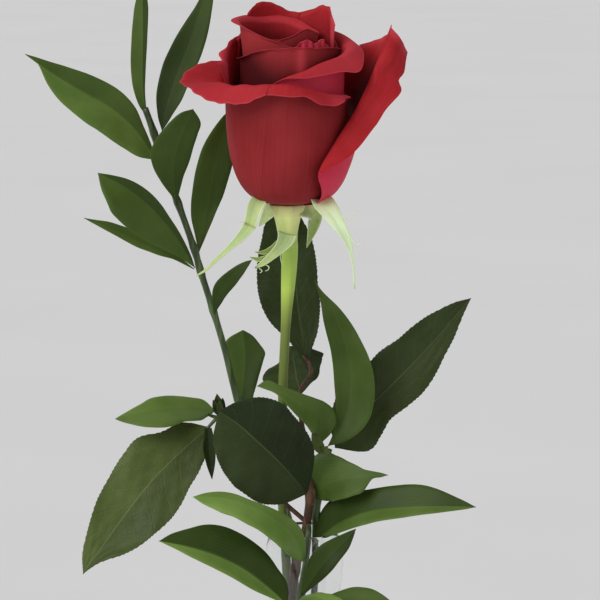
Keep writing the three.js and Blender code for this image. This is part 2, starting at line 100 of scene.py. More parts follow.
def unit(vectors):
    """The vectors scaled to length 1 along the last axis."""
    return vectors / np.maximum(np.linalg.norm(vectors, axis=-1, keepdims=True), LEAST_LENGTH)


def grid(columns, rows):
    """Parameters u from -1 to 1 across and v from 0 to 1 along, as two (columns, rows) arrays."""
    return np.meshgrid(np.linspace(-1, 1, columns), np.linspace(0, 1, rows), indexing="ij")


def smoothstep(low, high, value):
    """0 below low, 1 above high, an even S between."""
    share = np.clip((value - low) / (high - low), 0, 1)
    return share * share * (3 - 2 * share)


def bell(value, middle, width):
    """1 at the middle, falling away on both sides: exp(-(distance / width)^2)."""
    return np.exp(-((value - middle) / width) ** 2)


def blend(stations, u):
    """A smooth curve (Catmull-Rom) through values at even spacing from u = -1 to u = 1, or one value."""
    values = np.atleast_1d(np.asarray(stations, float))
    if len(values) == 1:
        return values[0] + 0 * u
    last = len(values) - 1
    along = np.clip((np.asarray(u, float) + 1) / 2, 0, 1) * last
    i = np.minimum(along.astype(int), last - 1)
    f = along - i
    b, c = values[i], values[i + 1]
    a, d = values[np.maximum(i - 1, 0)], values[np.minimum(i + 2, last)]
    return b + 0.5 * f * (c - a + f * (2 * a - 5 * b + 4 * c - d + f * (3 * (b - c) + d - a)))


def curve(points, u):
    """The smooth curve through evenly spaced points, blended one axis at a time."""
    return np.stack([blend(line, u) for line in np.transpose(points)], -1)


def bezier(ends, t):
    """A point and the direction of travel on the Bezier with these control points, for every t."""
    t = np.asarray(t, float)[..., None]
    level = [np.asarray(p, float) + 0 * t for p in ends]
    while len(level) > 2:
        level = [p + (q - p) * t for p, q in zip(level, level[1:])]
    return level[0] + (level[1] - level[0]) * t, unit(level[1] - level[0])


def route(path, count):
    """Points at even distances along a smooth curve through the path, and the direction at each."""
    fine = curve(path, np.linspace(-1, 1, ROUTE_STEPS * len(path)))
    steps = np.linalg.norm(np.diff(fine, axis=0), axis=1)
    travelled = np.concatenate([[0], np.cumsum(steps)])
    even = np.linspace(0, travelled[-1], count)
    points = np.stack([np.interp(even, travelled, line) for line in fine.T], -1)
    return points, unit(np.gradient(points, axis=0))


def ripple(u, v, seed, waves=4):
    """A gentle seeded unevenness between about -1 and 1: a sum of a few slanting sine waves."""
    random = np.random.default_rng(seed)
    total = 0
    for k in range(waves):
        fu, fv = random.uniform(1, 4, 2) * (1 + 0.5 * k)
        phase = random.uniform(0, 2 * np.pi, 2)
        total = total + np.sin(fu * u * np.pi + phase[0]) * np.sin(fv * v * np.pi + phase[1]) / (1 + k)
    return total / RIPPLE_SPREAD


def shell(points, half_thickness):
    """A closed thin shell: the grid of points moved out and in along its normals, joined round its rim.

    The normal is (change across) x (change along). Returns vertices and faces; the outer skin comes first.
    """
    normal = unit(np.cross(np.gradient(points, axis=0), np.gradient(points, axis=1)))
    offset = normal * half_thickness[..., None]
    columns, rows = points.shape[:2]
    index = np.arange(columns * rows).reshape(columns, rows)
    a, b, c, d = index[:-1, :-1], index[1:, :-1], index[1:, 1:], index[:-1, 1:]
    outer = np.stack([a, b, c, d], -1).reshape(-1, 4)
    inner = outer[:, ::-1] + columns * rows
    ring = np.concatenate([index[:-1, 0], index[-1, :-1], index[:0:-1, -1], index[0, :0:-1]])
    following = np.roll(ring, -1)
    rim = np.stack([following, ring, ring + columns * rows, following + columns * rows], -1)
    verts = np.concatenate([(points + offset).reshape(-1, 3), (points - offset).reshape(-1, 3)])
    return verts, [np.concatenate([outer, inner, rim])]


def shell_piece(name, points, thickness, looks):
    """A shell whose skins carry the grid's u, v as UVs and `outside`, 1 on the outer skin and 0 within.

    Each of its looks is one value or grid for both skins, or a pair of them, outer first.
    """
    u, v = grid(*points.shape[:2])
    taper = 1 - RIM_THINNING * np.maximum(np.abs(u) ** SIDE_RIM_POWER, v ** TIP_RIM_POWER)
    verts, faces = shell(points, 0.5 * thickness * taper)
    uv = np.stack([(u + 1) / 2, v], -1).reshape(-1, 2)
    doubled = {"outside": np.repeat([1.0, 0.0], u.size)}
    for key, value in looks.items():
        pair = value if isinstance(value, tuple) else (value, value)
        doubled[key] = np.concatenate([np.broadcast_to(side, u.shape).ravel() for side in pair])
    return add_mesh(name, verts, faces, np.tile(uv, (2, 1)), doubled, crisp=True)


def about_axis(radius, angle, height):
    """Points at these radii, angles and heights about Z."""
    return np.stack(np.broadcast_arrays(radius * np.cos(angle), radius * np.sin(angle), height), -1)


def closed_rings(skin, poles):
    """A closed body from rings of points: vertices, quads between the rings, and triangles to both poles."""
    rings, sides = skin.shape[:2]
    index = np.arange(rings * sides).reshape(rings, sides)
    turned = np.roll(index, -1, axis=1)
    walls = np.stack([index[:-1], turned[:-1], turned[1:], index[1:]], -1).reshape(-1, 4)
    bottom = np.stack([np.full(sides, index.size), turned[0], index[0]], -1)
    top = np.stack([np.full(sides, index.size + 1), index[-1], turned[-1]], -1)
    return np.concatenate([skin.reshape(-1, 3), poles]), walls, np.concatenate([bottom, top])


def tube(points, directions, radii, sides):
    """A closed tube round a path; radii is (points, sides) or one value a point.

    Its two side axes are square to the path and turned as little as possible: X and Y laid square to it.
    """
    first = unit(np.cross(directions, np.cross([1.0, 0.0, 0.0], directions)))
    second = np.cross(directions, first)
    angle = np.linspace(0, 2 * np.pi, sides, endpoint=False)[None, :, None]
    spread = np.broadcast_to(np.asarray(radii, float).reshape(len(points), -1), (len(points), sides))
    round_ = first[:, None] * np.cos(angle) + second[:, None] * np.sin(angle)
    return closed_rings(points[:, None] + round_ * spread[..., None], points[[0, -1]])


def threads(paths, radii, sides):
    """Thin tubes along several paths, tapering between two radii: vertices and a list of face arrays."""
    verts, quads, triangles, start = [], [], [], 0
    for path in paths:
        body, walls, caps = tube(*route(path, THREAD_POINTS), np.linspace(*radii, THREAD_POINTS), sides)
        verts.append(body)
        quads.append(walls + start)
        triangles.append(caps + start)
        start += len(body)
    return np.concatenate(verts), [np.concatenate(quads), np.concatenate(triangles)]


def lathe(profile, segments):
    """A closed solid of revolution about Z from (radius, height) points that start and end on the axis."""
    outline = np.asarray(profile, float)
    angle = np.linspace(0, 2 * np.pi, segments, endpoint=False)
    poles = [[0, 0, outline[0, 1]], [0, 0, outline[-1, 1]]]
    return closed_rings(about_axis(outline[1:-1, :1], angle, outline[1:-1, 1:]), poles)


# ---- Materials ----

class Nodes:
    """One material: short calls that add its nodes and link them to its shader."""

    def __init__(self, name):
        self.material = bpy.data.materials.new(name)
        self.material.use_nodes = True
        self.tree = self.material.node_tree

    def new(self, kind):
        return self.tree.nodes.new("ShaderNode" + kind)

    def fill(self, node, inputs):
        """Puts a value or a link on these input sockets, and gives the node's outputs.

        A colour may leave out its alpha, which is 1.
        """
        for key, value in inputs.items():
            socket = node.inputs[key]
            if isinstance(value, bpy.types.NodeSocket):
                self.tree.links.new(value, socket)
            else:
                socket.default_value = (*value, 1.0) if socket.type == "RGBA" else value
        return node.outputs

    def finish(self, sockets):
        """Fills the shader's sockets and gives the finished material."""
        self.fill(self.tree.nodes["Principled BSDF"], sockets)
        return self.material

    def math(self, operation, a, b=0.0, c=0.0):
        node = self.new("Math")
        node.operation = operation
        return self.fill(node, {0: a, 1: b, 2: c})[0]

    def times(self, a, b):
        return self.math("MULTIPLY", a, b)

    def line(self, value, slope, start):
        """value x slope + start"""
        return self.math("MULTIPLY_ADD", value, slope, start)

    def attribute(self, name):
        node = self.new("Attribute")
        node.attribute_name = name
        return node.outputs["Fac"]

    def uv(self):
        """The piece's own UVs, and u and v by themselves."""
        node = self.new("UVMap")
        node.uv_map = "UVMap"
        return (node.outputs[0], *self.split(node.outputs[0])[:2])

    def split(self, vector):
        return self.fill(self.new("SeparateXYZ"), {0: vector})

    def across(self, u):
        """Distance from the midrib: 0 on it, 1 at either margin."""
        return self.math("ABSOLUTE", self.line(u, 2.0, -1.0))

    def place(self):
        return self.new("TexCoord").outputs["Object"]

    def stretched(self, vector, scale):
        return self.fill(self.new("Mapping"), {"Vector": vector, "Scale": scale})[0]

    def noise(self, vector, scale, detail=3.0, roughness=0.5):
        """Cloudy noise; three scales stretch it."""
        if isinstance(scale, tuple):
            vector, scale = self.stretched(vector, scale), 1.0
        inputs = {"Vector": vector, "Scale": scale, "Detail": detail, "Roughness": roughness}
        return self.fill(self.new("TexNoise"), inputs)["Fac"]

    def ramp(self, value, stops):
        node = self.new("ValToRGB")
        elements = node.color_ramp.elements
        while len(elements) < len(stops):
            elements.new(0.5)
        for element, (place, colour) in zip(elements, stops):
            element.position = place
            element.color = (*colour, 1.0)
        return self.fill(node, {0: value})["Color"]

    def level(self, value, low, high):
        """0 at `low`, 1 at `high`, smooth between and flat beyond; `high` may be the smaller of the two."""
        node = self.new("MapRange")
        node.interpolation_type = "SMOOTHSTEP"
        return self.fill(node, {"Value": value, "From Min": low, "From Max": high})["Result"]

    def mix(self, share, a, b, kind="MIX"):
        node = self.new("Mix")
        node.data_type = "RGBA"
        node.blend_type = kind
        return self.fill(node, {0: share, 6: a, 7: b})[2]

    def lay(self, base, colour, strength, value, low, high, kind="MIX"):
        """The colour laid on the base at this strength, as far as the value has come from low to high."""
        return self.mix(self.times(self.level(value, low, high), strength), base, colour, kind)

    def bump(self, height, strength, distance):
        return self.fill(self.new("Bump"), {"Height": height, "Strength": strength, "Distance": distance})[0]


def soft(weight, radius, scale):
    """Shader sockets for light that spreads under the skin, `scale` metres at most."""
    return {"Subsurface Weight": weight, "Subsurface Radius": radius, "Subsurface Scale": scale}


def petal_skin():
    """Velvety red petal: a bright inner face, a duller wine-red outer face, fine fanned veins, pale rims."""
    n = Nodes("rose petal")
    uv, _, v = n.uv()
    outside = n.attribute("outside")
    veins = n.noise(uv, (46.0, 1.6, 1.0), 4.0, 0.6)
    cloud = n.noise(n.place(), 55.0)
    inner = n.mix(n.level(cloud, 0.35, 0.68), (0.30, 0.013, 0.016), (0.39, 0.021, 0.027))
    outer = n.mix(n.level(cloud, 0.32, 0.7), (0.245, 0.019, 0.021), (0.30, 0.027, 0.031))
    face = n.mix(outside, inner, outer)
    veined = n.lay(face, (0.13, 0.004, 0.010), 0.16, veins, 0.5, 0.72)
    pale = n.lay(veined, (0.50, 0.05, 0.07), 0.09, veins, 0.5, 0.28)
    foot = n.lay(pale, (0.42, 0.08, 0.05), 0.4, v, 0.16, 0.02)
    # The outer face's own magenta, painted lighter so that it also stands for light falling on that face.
    magenta = n.mix(n.times(n.attribute("blush"), outside), foot, (0.63, 0.042, 0.085))
    # Painted shade: the petal turns wine-black where the bloom is deep, by the depth attribute.
    with_painted_shade = n.mix(n.times(n.attribute("depth"), 0.92), magenta, (0.035, 0.002, 0.003))
    # Painted light: a lighter red laid in bells across some petals where they should look lit.
    with_painted_light = n.mix(n.attribute("glow"), with_painted_shade, (0.60, 0.055, 0.078))
    relief = n.line(n.noise(n.place(), 1400.0, 2.0), 0.25, veins)
    return n.finish({
        "Base Color": n.lay(with_painted_light, (0.58, 0.07, 0.10), 0.45, v, 0.975, 1.0),
        "Roughness": n.line(cloud, 0.12, 0.54),
        "Normal": n.bump(relief, 0.35, 0.0003),
        "Specular IOR Level": 0.07,
        "Sheen Weight": 0.02, "Sheen Roughness": 0.45, "Sheen Tint": (1.0, 0.42, 0.45),
        **soft(0.1, (1.0, 0.12, 0.10), 0.002),
    })


def ruscus_leaf_skin():
    """Satin ruscus blade: fine long veins that run from base to tip, a paler underside, a light midrib."""
    n = Nodes("ruscus leaf")
    uv, u, _ = n.uv()
    across = n.across(u)
    # Each side's lightness: the leaf's own tone, with painted light and shade for how light falls on it.
    tone_and_painted_light = n.attribute("tone_and_painted_light")
    cloud = n.noise(n.place(), 60.0)
    veins = n.line(n.math("SINE", n.times(across, 62.0)), 0.5, 0.5)
    grain = n.noise(uv, (60.0, 3.0, 1.0))
    dark = n.mix(tone_and_painted_light, (0.016, 0.029, 0.0025), (0.130, 0.225, 0.040))
    light = n.mix(tone_and_painted_light, (0.022, 0.040, 0.004), (0.190, 0.295, 0.066))
    blade_green = n.mix(n.level(cloud, 0.3, 0.7), dark, light)
    lined = n.lay(blade_green, light, 0.22, n.times(veins, grain), 0.3, 0.7)
    rib = n.lay(lined, (0.10, 0.15, 0.035), 0.16, across, 0.05, 0.0)
    margin = n.lay(rib, (0.14, 0.22, 0.05), 0.3, across, 0.97, 1.0)
    relief = n.math("ADD", n.times(veins, 0.7), n.times(grain, 0.6))
    return n.finish({
        "Base Color": n.mix(n.attribute("outside"), n.mix(0.6, margin, (0.105, 0.165, 0.045)), margin),
        "Roughness": n.line(cloud, 0.16, 0.36),
        "Normal": n.bump(relief, 0.22, 0.0002),
        "Specular IOR Level": 0.15,
        **soft(0.05, (0.3, 1.0, 0.15), 0.001),
    })


def salal_leaf_skin():
    """Leathery salal blade: netted veins off a pale midrib, mottled dark green, dull underside."""
    n = Nodes("salal leaf")
    uv, u, v = n.uv()
    across = n.across(u)
    # Each side's lightness: the leaf's own tone, with painted light and shade for how light falls on it.
    tone_and_painted_light = n.attribute("tone_and_painted_light")
    bent = n.times(n.math("POWER", across, 0.85), 0.17)
    branch = n.math("FRACT", n.times(n.math("SUBTRACT", v, bent), 8.0))
    vein = n.level(n.math("ABSOLUTE", n.math("SUBTRACT", branch, 0.5)), 0.055, 0.0)
    cells = n.new("TexVoronoi")
    cells.feature = "DISTANCE_TO_EDGE"
    n.fill(cells, {"Vector": n.stretched(uv, (15.0, 34.0, 1.0)), "Scale": 1.0})
    net = n.level(cells.outputs["Distance"], 0.10, 0.0)
    cloud = n.noise(n.place(), 70.0, 4.0, 0.6)
    dark = n.mix(tone_and_painted_light, (0.013, 0.022, 0.004), (0.062, 0.088, 0.018))
    light = n.mix(tone_and_painted_light, (0.018, 0.031, 0.010), (0.090, 0.122, 0.031))
    blade_green = n.mix(n.level(cloud, 0.3, 0.7), dark, light)
    netted = n.mix(n.times(net, 0.05), blade_green, (0.08, 0.12, 0.04))
    veined = n.mix(n.times(vein, 0.07), netted, (0.12, 0.17, 0.06))
    rib = n.lay(veined, (0.17, 0.20, 0.09), n.line(tone_and_painted_light, 0.3, 0.25), across, 0.03, 0.0)
    raised = n.math("ADD", n.times(vein, -0.8), n.times(net, -0.5))
    return n.finish({
        "Base Color": n.mix(n.attribute("outside"), n.mix(0.5, rib, (0.085, 0.12, 0.05)), rib),
        "Roughness": n.line(cloud, 0.2, 0.34),
        "Normal": n.bump(n.line(cloud, 0.4, raised), 0.3, 0.0003),
        "Specular IOR Level": 0.16,
    })


def sepal_skin():
    """Pale downy sepal: light green with long soft veins and a whitish margin, brown at a dried tip."""
    n = Nodes("sepal")
    uv, u, _ = n.uv()
    streaks = n.noise(uv, (7.0, 1.2, 1.0))
    cloud = n.noise(n.place(), 160.0)
    pale = n.attribute("pale")
    green = n.mix(pale, (0.26, 0.36, 0.05), (0.80, 0.99, 0.63))
    deep = n.mix(pale, (0.18, 0.26, 0.035), (0.72, 0.92, 0.51))
    streaked = n.mix(n.level(streaks, 0.3, 0.6), deep, green)
    mottled = n.lay(streaked, (0.66, 0.70, 0.24), n.line(pale, -0.4, 0.55), cloud, 0.4, 0.7)
    margin = n.lay(mottled, (0.74, 0.86, 0.55), 0.6, n.across(u), 0.7, 1.0)
    return n.finish({
        # Brown at a dried tip, and a brown line of painted shade along a crease.
        "Base Color": n.mix(n.attribute("dried_tip_and_crease_shade"), margin, (0.14, 0.09, 0.03)),
        "Roughness": 0.6,
        "Normal": n.bump(n.line(cloud, 0.5, streaks), 0.25, 0.0002),
        "Sheen Weight": 0.15,
        **soft(0.1, (0.6, 1.0, 0.3), 0.001),
    })


STEM_TONE_HEIGHTS = (0.24, 0.315)  # metres, the stretch of stem and hip that changes colour
STEM_TONES = (
    (0.0, (0.11, 0.16, 0.020)), (0.33, (0.13, 0.18, 0.023)), (0.42, (0.165, 0.215, 0.029)),
    (0.50, (0.26, 0.35, 0.054)), (0.60, (0.47, 0.64, 0.095)), (0.78, (0.42, 0.60, 0.100)),
    (0.85, (0.64, 0.74, 0.25)), (0.93, (0.82, 0.88, 0.34)), (0.968, (0.64, 0.62, 0.26)),
    (1.0, (0.42, 0.28, 0.13)),
)


def rose_stem_skin():
    """Rose stem and hip: yellow-green by the bloom, deeper olive green down the stem, fine long streaks."""
    n = Nodes("rose stem")
    place = n.place()
    streaks = n.noise(place, (420.0, 420.0, 14.0))
    cloud = n.noise(place, 90.0)
    low, high = STEM_TONE_HEIGHTS
    tone = n.ramp(n.line(n.split(place)[2], 1 / (high - low), -low / (high - low)), STEM_TONES)
    streaked = n.lay(tone, (0.62, 0.74, 0.50), 0.35, streaks, 0.42, 0.62, "MULTIPLY")
    return n.finish({
        "Base Color": n.lay(streaked, (1.0, 0.86, 0.62), 0.3, cloud, 0.5, 0.8, "MULTIPLY"),
        "Roughness": n.line(cloud, 0.2, 0.36),
        "Normal": n.bump(streaks, 0.3, 0.0002),
        **soft(0.08, (0.5, 1.0, 0.2), 0.0015),
    })


def ruscus_stem_skin():
    """Thin dark green stem with paler long ridges."""
    n = Nodes("ruscus stem")
    place = n.place()
    streaks = n.noise(place, (600.0, 600.0, 10.0))
    tone = n.mix(n.level(streaks, 0.4, 0.66), (0.020, 0.040, 0.008), (0.070, 0.125, 0.030))
    return n.finish({
        "Base Color": n.mix(n.times(n.noise(place, 120.0), 0.25), tone, (0.10, 0.13, 0.05)),
        "Roughness": 0.4,
        "Normal": n.bump(streaks, 0.4, 0.0002),
    })


def twig_skin():
    """Reddish-brown bark: long cracks, small pale pores and a dusty lighter bloom."""
    n = Nodes("salal twig")
    place = n.place()
    bark = n.noise(place, (500.0, 500.0, 60.0), 5.0, 0.65)
    pores = n.noise(place, 900.0, 1.0)
    browns = ((0.3, (0.018, 0.008, 0.004)), (0.52, (0.072, 0.030, 0.011)), (0.75, (0.22, 0.11, 0.05)))
    return n.finish({
        "Base Color": n.lay(n.ramp(bark, browns), (0.30, 0.22, 0.14), 0.6, pores, 0.68, 0.74),
        "Roughness": n.line(bark, 0.25, 0.5),
        "Normal": n.bump(bark, 0.6, 0.0004),
    })


def clear_glass():
    """Clear blown glass with a trace of green and faint long draw lines."""
    n = Nodes("clear glass")
    lines = n.noise(n.place(), (30.0, 30.0, 6.0), 2.0)
    return n.finish({
        "Base Color": (0.965, 0.985, 0.975),
        "Roughness": 0.015,
        "Normal": n.bump(lines, 0.08, 0.0006),
        "IOR": 1.5,
        "Transmission Weight": 1.0,
    })


# ---- Vase ----

VASE_OUTSIDE = (
    (23, 0), (26.2, 1.6), (28.6, 8), (29.5, 20), (28.2, 34), (23.6, 52), (17, 74), (12.4, 98),
    (10.4, 125), (10.1, 150), (11.2, 170), (13.0, 182), (13.6, 189), (12.9, 195.5), (11.5, 199.6),
)
VASE_INSIDE = (
    (9.6, 199.8), (10.9, 195.2), (11.6, 189), (11.0, 182), (9.2, 170.5), (8.1, 150), (8.4, 125.5),
    (10.3, 98.6), (14.8, 75), (21.2, 53), (25.6, 34.6), (26.8, 20.5), (25.2, 13), (19, 9.2),
)
VASE_LIP_TOP = (10.5, 200.5)
VASE_BASE = ((0, 0), (8, 0), (16, 0))
VASE_WELL = ((12, 8.45), (6, 8.1), (0, 8.0))
VASE_RINGS, VASE_LIP_RINGS, VASE_SEGMENTS = 72, 9, 144


def smooth_profile(points, count):
    """The outline resampled on a smooth curve through its points."""
    return curve(points, np.linspace(-1, 1, count))


def vase(material):
    """The glass wall turned about Z: foot, outside, rounded lip, inside and the well's floor."""
    outside, inside = smooth_profile(VASE_OUTSIDE, VASE_RINGS), smooth_profile(VASE_INSIDE, VASE_RINGS)
    lip = smooth_profile((VASE_OUTSIDE[-1], VASE_LIP_TOP, VASE_INSIDE[0]), VASE_LIP_RINGS)[1:-1]
    verts, *faces = lathe(np.concatenate([VASE_BASE, outside, lip, inside, VASE_WELL]), VASE_SEGMENTS)
    finish_piece(add_mesh("bud_vase", verts, faces), material, "clear_glass", "vase")


# ---- Stems ----
# Each path runs from the cut end up. The radius goes from the first value to the second between the two
# heights, and the stem swells at its joints, the heights where leaves or side stems leave it.

JOINT_SWELL, JOINT_LENGTH = 0.32, 2.2
EVEN = (0.0, 1.0)
STEMS = (
    # name, points, sides, radii, heights of the change, ridges, their depth, joints, path
    ("rose_stem", 160, 40, (1.62, 2.72), (268, 296), 5, 0.02, (), ((-9, 3, 10.2), (-7.6, 2.5, 60),
     (-5.7, 1.6, 105), (-4.7, 1.2, 135), (-4.8, 1, 160), (-5.8, 0.6, 182), (-6.8, 0.3, 200), (-7.5, 0, 212),
     (-7.5, 0, 230), (-7.2, 0, 251.5), (-6.1, 0, 275), (-4.9, 0, 296), (-4.9, 0, 301.5))),
    ("tall_stem", 150, 20, (1.05, 1.05), EVEN, 6, 0.06, (243.7, 275, 289, 296.5, 312.5, 329, 336.5),
     ((-4, 10, 9.6), (-3, 8.5, 60), (-2, 6.3, 105), (-1.6, 5.6, 135), (-1.8, 5.8, 160), (-3.1, 6.3, 182),
     (-4.5, 6, 200), (-9, 8, 213), (-14.5, 10, 226), (-22.9, 12, 243.7), (-27.3, 13, 260.9),
     (-31.4, 14, 275), (-35.6, 14, 288.5), (-37.8, 14, 296.5), (-43.2, 13, 312.5), (-49, 11.5, 329),
     (-51, 11, 336.5), (-54, 10, 345.4))),
    ("short_stem", 150, 20, (1.05, 1.05), EVEN, 6, 0.06, (206, 213, 222.6), ((-1.5, -11, 10.1),
     (-1, -9.5, 50), (-0.2, -6.8, 98), (0.4, -6, 130), (0.7, -5.6, 155), (3.4, -4, 178), (3.9, -2.4, 200),
     (4.2, -2.6, 206), (5, -3.4, 213), (6.6, -4, 222.6), (8.6, -4, 230))),
    ("sprig_stem", 150, 20, (0.8, 0.8), EVEN, 6, 0.06, (), ((-0.6, -7.4, 176), (0.6, -7.8, 190),
     (1.6, -8.2, 199), (1.7, -11.4, 204.8), (1.3, -15.8, 202.4), (0.5, -18.8, 195), (-0.9, -20.6, 187),
     (-2.1, -21.6, 180))),
    ("salal_twig", 170, 24, (1.5, 0.65), (212, 246), 3, 0.05, (176.5, 187, 215, 231), ((-7, -7, 10),
     (-5.6, -6.6, 60), (-4.3, -5.3, 108), (-3.5, -4.5, 135), (-3.5, -4.4, 155), (-4, -4, 176.5),
     (-3.2, -4.2, 187), (0.2, -4.4, 200), (1.4, -6.6, 208), (2.1, -7.6, 215), (1.4, -3, 222), (0.2, 3, 231),
     (-1.7, 7.5, 246.3), (2.4, 11, 253.9), (-0.3, 12, 259.5))),
    ("salal_side_twig", 60, 18, (0.8, 0.8), EVEN, 3, 0.04, (), ((1, -6, 204.6), (-2, -5.6, 207.2),
     (-8.5, -6, 213.5), (-18, -2, 225), (-25.5, 2.5, 235), (-28.4, 4, 241.5))),
)


def stems(green, dark, bark):
    """The rose stem, the two ruscus stems, the bent-over sprig and the salal twig with its side twig.

    Each is a tube with long shallow ridges, radius x (1 + depth x cos(ridges x angle)).
    """
    finishes = {"rose": (green, "stem_green"), "salal": (bark, "twig_brown")}
    for name, count, sides, (start, end), heights, ridges, depth, joints, path in STEMS:
        points, directions = route(path, count)
        angle = np.linspace(0, 2 * np.pi, sides, endpoint=False)
        radius = start + (end - start) * smoothstep(*heights, points[:, 2:])
        radius = radius * (1 + depth * np.cos(ridges * angle))
        for height in joints:
            radius = radius * (1 + JOINT_SWELL * bell(points[:, 2:], height, JOINT_LENGTH))
        verts, *faces = tube(points, directions, radius, sides)
        finish = finishes.get(name.split("_")[0], (dark, "ruscus_stem_green"))
        finish_piece(add_mesh(name + "_skin", verts, faces), *finish, name)


# ---- Leaves and sepals ----

TIP_HALF_WIDTH = 0.12
BLADE_STEP = 0.002  # the share of its length over which a midrib's direction is taken
CREASE_WIDTH = 0.02
TEETH_FADE = 8  # the teeth come in over this part, an eighth, of the length
TOOTH_DRIFT, TOOTH_DRIFT_RATE = 0.3, 40  # how far the teeth crowd together, and how often
NO_CREASE = (0, 0)


def blade(u, v, seed, faces, fold, rib, left, right, wave=0.5, uneven=0.02, bend=0.8,
          teeth=0, bite=0.0, quilt=0.0, roll=0.0, crease=NO_CREASE):
    """Points of a blade: out from the midrib to each side, and up by all that lifts it towards its face.

    The midrib `rib` is a smooth curve through evenly spaced points, `faces` is where the upper face looks,
    and each side has its own half widths along the rib. `fold` is the rise of the sides in degrees, rounded
    at the midrib: sqrt(reach^2 + bend^2) - bend. `wave` and `quilt` are slow and quick unevenness of the
    face and `uneven` of the half widths, `roll` turns the margins down by the sixth power of u, and a
    crease (where, depth) is a narrow bell straight across. `teeth` is how many teeth saw each margin,
    `bite` mm deep, fading out at both ends.
    """
    tangent = unit(curve(rib, 2 * np.minimum(v + BLADE_STEP, 1) - 1)
                   - curve(rib, 2 * np.maximum(v - BLADE_STEP, 0) - 1))
    across = unit(np.cross(tangent, faces))
    up = np.cross(across, tangent)
    width = np.maximum(np.where(u < 0, blend(left, 2 * v - 1), blend(right, 2 * v - 1)), 0)
    if teeth:
        ends = np.minimum(1, TEETH_FADE * v) * np.minimum(1, TEETH_FADE * (1 - v))
        count = v * teeth + TOOTH_DRIFT * np.sin(TOOTH_DRIFT_RATE * v)
        width = width + bite * (count % 1.0 - 0.5) * ends
    width = width * (1 + uneven * ripple(np.sign(u), v, seed, 2))
    reach = np.maximum(width, TIP_HALF_WIDTH) * u
    edge = u * u * width / 8
    lift = math.sin(math.radians(fold)) * (np.sqrt(reach ** 2 + bend ** 2) - bend)
    lift = lift + crease[1] * bell(v, crease[0], CREASE_WIDTH)
    lift = lift + wave * ripple(0.35 * u, 1.2 * v, seed + 7, 3) * edge
    lift = lift + quilt * ripple(1.5 * u, 3 * v, seed + 3, 4) * np.minimum(1, width / 4)
    lift = lift - roll * np.abs(u) ** 6 * edge
    return curve(rib, 2 * v - 1) + across * reach[..., None] + up * lift[..., None]
